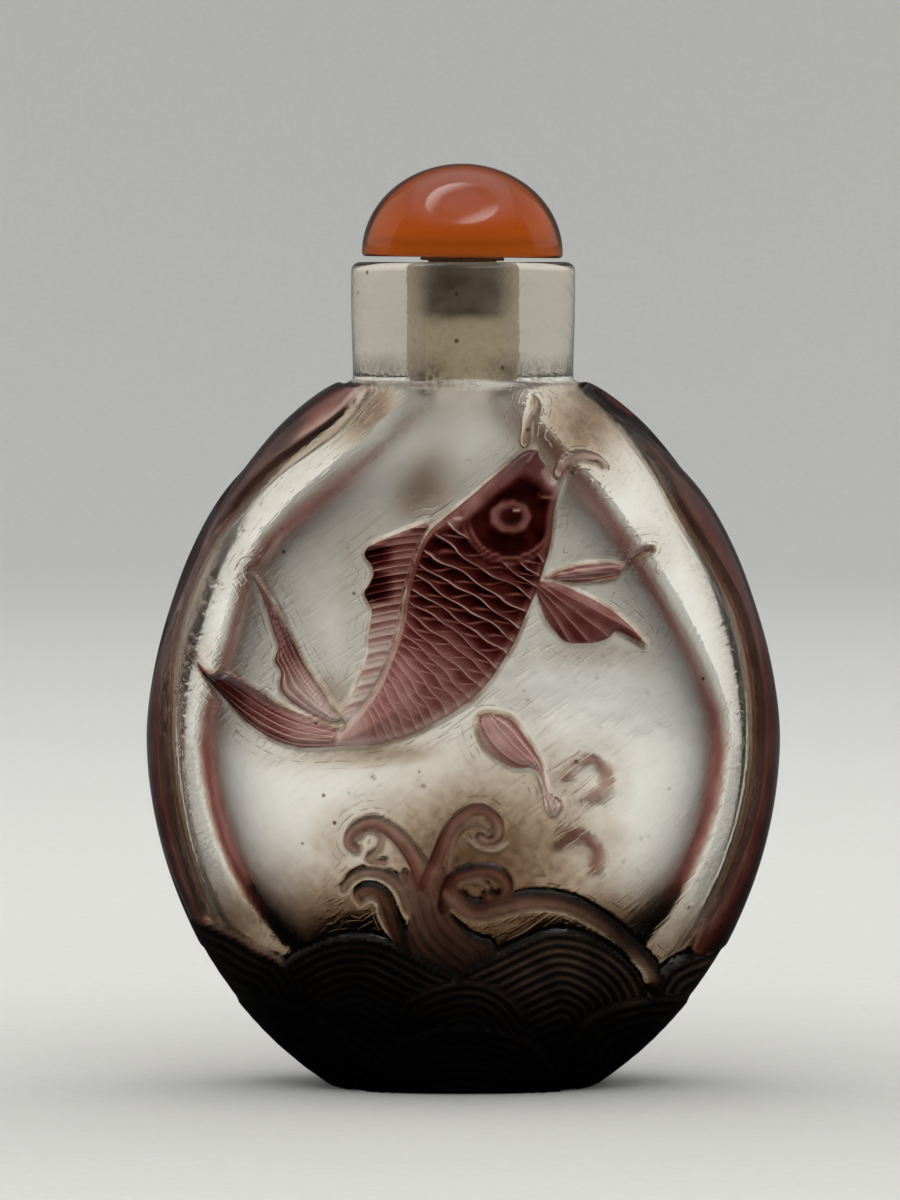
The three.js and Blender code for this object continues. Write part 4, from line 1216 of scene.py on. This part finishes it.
class SNUFF_OT_dome(bpy.types.Operator):
    """Builds the stopper's glass dome"""

    bl_idname = "snuff.dome"
    bl_label = "Stopper dome"

    def execute(self, context):
        edge = 0.3
        flat = np.linspace(0, DOME_RADIUS - edge, 8)
        turn = np.linspace(0, math.pi / 2, 6)[1:]
        rise = np.linspace(0, math.pi / 2, 40)[1:]
        radius = np.concatenate([flat, DOME_RADIUS - edge * (1 - np.sin(turn)), DOME_RADIUS * np.cos(rise)])
        radius[-1] = 0.0
        z = np.concatenate([0 * flat, edge * (1 - np.cos(turn)), edge + (DOME_HEIGHT - edge) * np.sin(rise)])
        mesh = closed_mesh("dome_glass", leaning(turned_points(radius, z + CORK_HEAD, 128)))
        show_piece("dome", mesh, [dome_glass(context.scene.snuff_colours)], "stopper_dome")
        return {"FINISHED"}


class SNUFF_OT_cork(bpy.types.Operator):
    """Builds the stopper's cork"""

    bl_idname = "snuff.cork"
    bl_label = "Stopper cork"

    def execute(self, context):
        columns = 72
        low = np.array([0, 0.5, 0.9]) * (CORK_RADIUS - 0.35)
        stem = np.linspace(-CORK_LENGTH + 0.4, 0, 12)
        head = np.array([CORK_HEAD_RADIUS - 0.05, CORK_HEAD_RADIUS, CORK_HEAD_RADIUS - 0.05, 1.5, 0.0])
        head_z = np.array([0.02, 0.13, CORK_HEAD - 0.01, CORK_HEAD - 0.01, CORK_HEAD - 0.01])
        radius = np.concatenate([low, CORK_RADIUS + 0 * stem, head])
        z = np.concatenate([low * 0 - CORK_LENGTH, stem, head_z])
        points = turned_points(radius, z, columns)
        angle = np.arange(columns) * 2 * math.pi / columns
        ripple = 0.02 * np.sin(7 * angle) + 0.015 * np.sin(13 * angle + 1)
        on_stem = ((radius == CORK_RADIUS) * np.sin(z * 3.1))[:, None]
        points[..., :2] *= (1 - np.abs(on_stem * ripple) / CORK_RADIUS)[..., None]
        mesh = closed_mesh("cork_stem", leaning(points))
        show_piece("cork", mesh, [old_cork(context.scene.snuff_colours)], "stopper_cork")
        return {"FINISHED"}


# Albedo of the stage against the distance from the bottle in metres, as a share of the floor's colour
# The shares paint light: a shadow close to the bottle, brightest a little way out, dimmer towards the wall.
FLOOR_SHARES = ((0.0, 0.9), (0.035, 0.97), (0.08, 1.08), (0.16, 1.1), (0.26, 1.08), (0.43, 1.03), (0.82, 1.02), (1.42, 0.98))
FLOOR_REACH = 1.42
RING_ELEVATION = math.radians(76)
RING_AWAY = 750.0
RING_RADII = (445.0, 470.0)
RING_HOLE = 0.56
RING_STRENGTH = 2.1
SIDE_STRENGTH = 1.25
SKY_STRENGTH = 0.33
ZENITH_STRENGTH = 0.6


class SNUFF_OT_stage(bpy.types.Operator):
    """Sets the floor that rises into a wall all round, the lights and the camera"""

    bl_idname = "snuff.stage"
    bl_label = "Stage"

    def execute(self, context):
        self.lay_floor(context)
        self.hang_ring(context)
        self.stand_sides(context)
        self.light_sky(context)
        self.place_camera(context)
        return {"FINISHED"}

    def show(self, context, name, points, faces, material):
        """Puts a mesh of the stage into the scene. A light is out of the camera's sight."""
        mesh = bpy.data.meshes.new(name)
        mesh.from_pydata((points.reshape(-1, 3) * MM).tolist(), [], faces)
        mesh.polygons.foreach_set("use_smooth", np.ones(len(faces), bool))
        mesh.materials.append(material)
        piece = bpy.data.objects.new(name, mesh)
        context.scene.collection.objects.link(piece)
        piece.visible_camera = name == "floor"

    def lay_floor(self, context):
        """A round floor that bends up into a wall: straight, then a quarter circle, then straight up."""
        columns = 96
        flat = np.linspace(20, 900, 40)
        turn = np.linspace(0, math.pi / 2, 24)[1:]
        radius = np.concatenate([flat, 900 + 400 * np.sin(turn), [1300, 1300]])
        z = np.concatenate([0 * flat, 400 * (1 - np.cos(turn)), [600, 800]])
        points = turned_points(radius, z, columns)
        faces = [list(range(columns))] + grid_faces(len(radius), columns)[:, ::-1].tolist()
        self.show(context, "floor", points, faces, self.floor_material(context.scene.snuff_colours.floor))

    def floor_material(self, colour):
        """Pale and matt, with painted light: a slow change of brightness outwards, a painted shadow close to the
            bottle, and more brightness where it is seen through the glass. In the glass's reflections the half of the
            room on the camera's side is dark."""
        material, tree, shader = new_material("Pale floor")
        place = object_place(tree)
        away = add_node(tree, "ShaderNodeVectorMath", {0: place}, operation="LENGTH").outputs["Value"]
        blend = add_node(tree, "ShaderNodeValToRGB", {0: sum_of(tree, "DIVIDE", away, FLOOR_REACH)})
        elements = blend.color_ramp.elements
        while len(elements) < len(FLOOR_SHARES):
            elements.new(0.5)
        for element, (where, share) in zip(elements, FLOOR_SHARES):
            element.position = where / FLOOR_REACH
            element.color = rgba(np.array(colour) * share)
        fibres = ramp(tree, noise(tree, place, 900.0), 0.3, 0.7, 0.0, 0.03)
        paper = tinted(tree, blend.outputs[0], rgba((0.0, 0.0, 0.0)), fibres, "MIX")
        passed = tree.nodes.new("ShaderNodeLightPath").outputs["Is Transmission Ray"]
        # Painted light: the floor is lighter where it is seen through the glass.
        paper = tinted(tree, paper, rgba((1.0, 1.0, 1.0)), sum_of(tree, "MULTIPLY", passed, 0.3), "MIX")
        towards = add_node(tree, "ShaderNodeSeparateXYZ", {0: place}).outputs[1]
        unlit = sum_of(tree, "MULTIPLY", self.unlit(tree, towards, 0.25, -0.05), 0.97)
        tree.links.new(tinted(tree, paper, rgba((0.0, 0.0, 0.0)), unlit, "MIX"), shader.inputs["Base Color"])
        shader.inputs["Roughness"].default_value = 0.9
        shader.inputs["Specular IOR Level"].default_value = 0.0
        return material

    def unlit(self, tree, towards, near, far):
        """How dark the room is for rays that a shiny surface threw back: darkest from near to far on the
        camera's side."""
        path = tree.nodes.new("ShaderNodeLightPath")
        mirrored = sum_of(tree, "SUBTRACT", path.outputs["Is Glossy Ray"], path.outputs["Is Transmission Ray"])
        return sum_of(tree, "MULTIPLY", ramp(tree, towards, near, far, 0.75, 1.0), mirrored)

    def hang_ring(self, context):
        """A ring light high in front of the bottle: an elliptical band that faces it."""
        columns = 96
        angle = np.arange(columns) * 2 * math.pi / columns
        share = np.array([RING_HOLE, 1.0])[:, None]
        across = RING_RADII[0] * share * np.cos(angle)
        up = RING_RADII[1] * share * np.sin(angle)
        sine, cosine = math.sin(RING_ELEVATION), math.cos(RING_ELEVATION)
        points = np.stack([across, up * sine - RING_AWAY * cosine, up * cosine + RING_AWAY * sine], -1)
        points[..., 2] += WIDEST_HEIGHT
        self.show(context, "ring_light", points, grid_faces(2, columns).tolist(), self.glow("Ring light", RING_STRENGTH, self.slanted))

    def slanted(self, tree):
        """Shows the ring light most at its back left and front right, away from its slanting middle line."""
        split = add_node(tree, "ShaderNodeSeparateXYZ", {0: object_place(tree)})
        middle = RING_AWAY * MM * math.cos(RING_ELEVATION)
        slant = sum_of(tree, "SUBTRACT", sum_of(tree, "SUBTRACT", split.outputs[0], split.outputs[1]), middle)
        return ramp(tree, sum_of(tree, "ABSOLUTE", slant), 0.2, 0.6, 0.3, 2.4)

    def flagged(self, tree):
        """Shows little of a side light."""
        return rgba((0.3, 0.3, 0.3))

    def glow(self, name, strength, shown):
        """A material that only shines. In glass it is as bright as shown says."""
        material, tree, shader = new_material(name)
        shader.inputs["Base Color"].default_value = (0.0, 0.0, 0.0, 1.0)
        glossy = tree.nodes.new("ShaderNodeLightPath").outputs["Is Glossy Ray"]
        light = tinted(tree, rgba((1.0, 0.99, 0.97)), shown(tree), glossy)
        tree.links.new(light, shader.inputs["Emission Color"])
        shader.inputs["Emission Strength"].default_value = strength
        material.cycles.emission_sampling = "NONE"
        return material

    def stand_sides(self, context):
        """Two soft panels, left and right behind the bottle and outside the camera's view."""
        along, up = np.meshgrid([-300.0, 300.0], [110.0, 750.0])
        for name, side in (("left_light", -1.0), ("right_light", 1.0)):
            points = np.stack([side * (520 - 0.5 * along), 260 + 0.85 * along, up], -1)
            self.show(context, name, points, [[0, 1, 3, 2]], self.glow("Soft " + name, SIDE_STRENGTH, self.flagged))

    def light_sky(self, context):
        """A dim sky, brighter overhead, dark in reflections low on the camera's side and brighter for what lies
        inside the glass."""
        world = bpy.data.worlds.new("Soft room")
        context.scene.world = world
        world.cycles.sampling_method = "NONE"
        world.use_nodes = True
        tree = world.node_tree
        sky = tree.nodes["Background"]
        sky.inputs["Color"].default_value = (0.97, 0.98, 1.0, 1.0)
        direction = tree.nodes.new("ShaderNodeTexCoord").outputs["Generated"]
        split = add_node(tree, "ShaderNodeSeparateXYZ", {0: direction})
        low = ramp(tree, split.outputs[2], 0.8, 0.5)
        dark = sum_of(tree, "MULTIPLY", low, self.unlit(tree, split.outputs[1], 0.3, -0.1))
        bright = ramp(tree, split.outputs[2], 0.45, 0.95, SKY_STRENGTH, SKY_STRENGTH + ZENITH_STRENGTH)
        lit = sum_of(tree, "MULTIPLY", bright, sum_of(tree, "MULTIPLY_ADD", dark, -0.95, 1.0))
        path = tree.nodes.new("ShaderNodeLightPath")
        inside = sum_of(tree, "MULTIPLY", path.outputs["Is Transmission Ray"], path.outputs["Diffuse Depth"])
        lit = sum_of(tree, "MULTIPLY", lit, ramp(tree, inside, 0.0, 1.0, 1.0, 2.2))
        tree.links.new(lit, sky.inputs["Strength"])

    def place_camera(self, context):
        """A long lens level with the bottle's neck, looking slightly down at its middle."""
        data = bpy.data.cameras.new("camera")
        data.lens = LENS
        data.sensor_width = 36.0
        data.clip_start, data.clip_end = 0.01, 20.0
        camera = bpy.data.objects.new("camera", data)
        camera.location = np.array(CAMERA) * MM
        pitch = math.atan2(AIM_HEIGHT - CAMERA[2], -CAMERA[1])
        camera.rotation_euler = (math.pi / 2 + pitch, 0.0, 0.0)
        context.scene.collection.objects.link(camera)
        context.scene.camera = camera
        context.scene.view_settings.view_transform = "Standard"
        context.scene.cycles.max_bounces = 10
        context.scene.cycles.transmission_bounces = 10
        context.scene.cycles.glossy_bounces = 5


class SNUFF_PT_panel(bpy.types.Panel):
    """Lists the bottle's sizes, colours and steps"""

    bl_label = "Snuff Bottle"
    bl_idname = "SNUFF_PT_panel"
    bl_space_type = "VIEW_3D"
    bl_region_type = "UI"
    bl_category = "Snuff Bottle"

    def draw(self, context):
        for group in (context.scene.snuff_sizes, context.scene.snuff_colours):
            for name in group.__annotations__:
                self.layout.prop(group, name)
        for operator in OPERATORS:
            self.layout.operator(operator.bl_idname)


OPERATORS = (SNUFF_OT_flask, SNUFF_OT_dome, SNUFF_OT_cork, SNUFF_OT_stage)
CLASSES = (SnuffBottleSizes, SnuffBottleColours, *OPERATORS, SNUFF_PT_panel)


def register():
    for cls in CLASSES:
        bpy.utils.register_class(cls)
    bpy.types.Scene.snuff_sizes = bpy.props.PointerProperty(type=SnuffBottleSizes)
    bpy.types.Scene.snuff_colours = bpy.props.PointerProperty(type=SnuffBottleColours)


def unregister():
    del bpy.types.Scene.snuff_colours
    del bpy.types.Scene.snuff_sizes
    for cls in reversed(CLASSES):
        bpy.utils.unregister_class(cls)


def main():
    register()
    bpy.ops.snuff.flask()
    bpy.ops.snuff.dome()
    bpy.ops.snuff.cork()
    bpy.ops.snuff.stage()


if __name__ == "__main__":
    main()
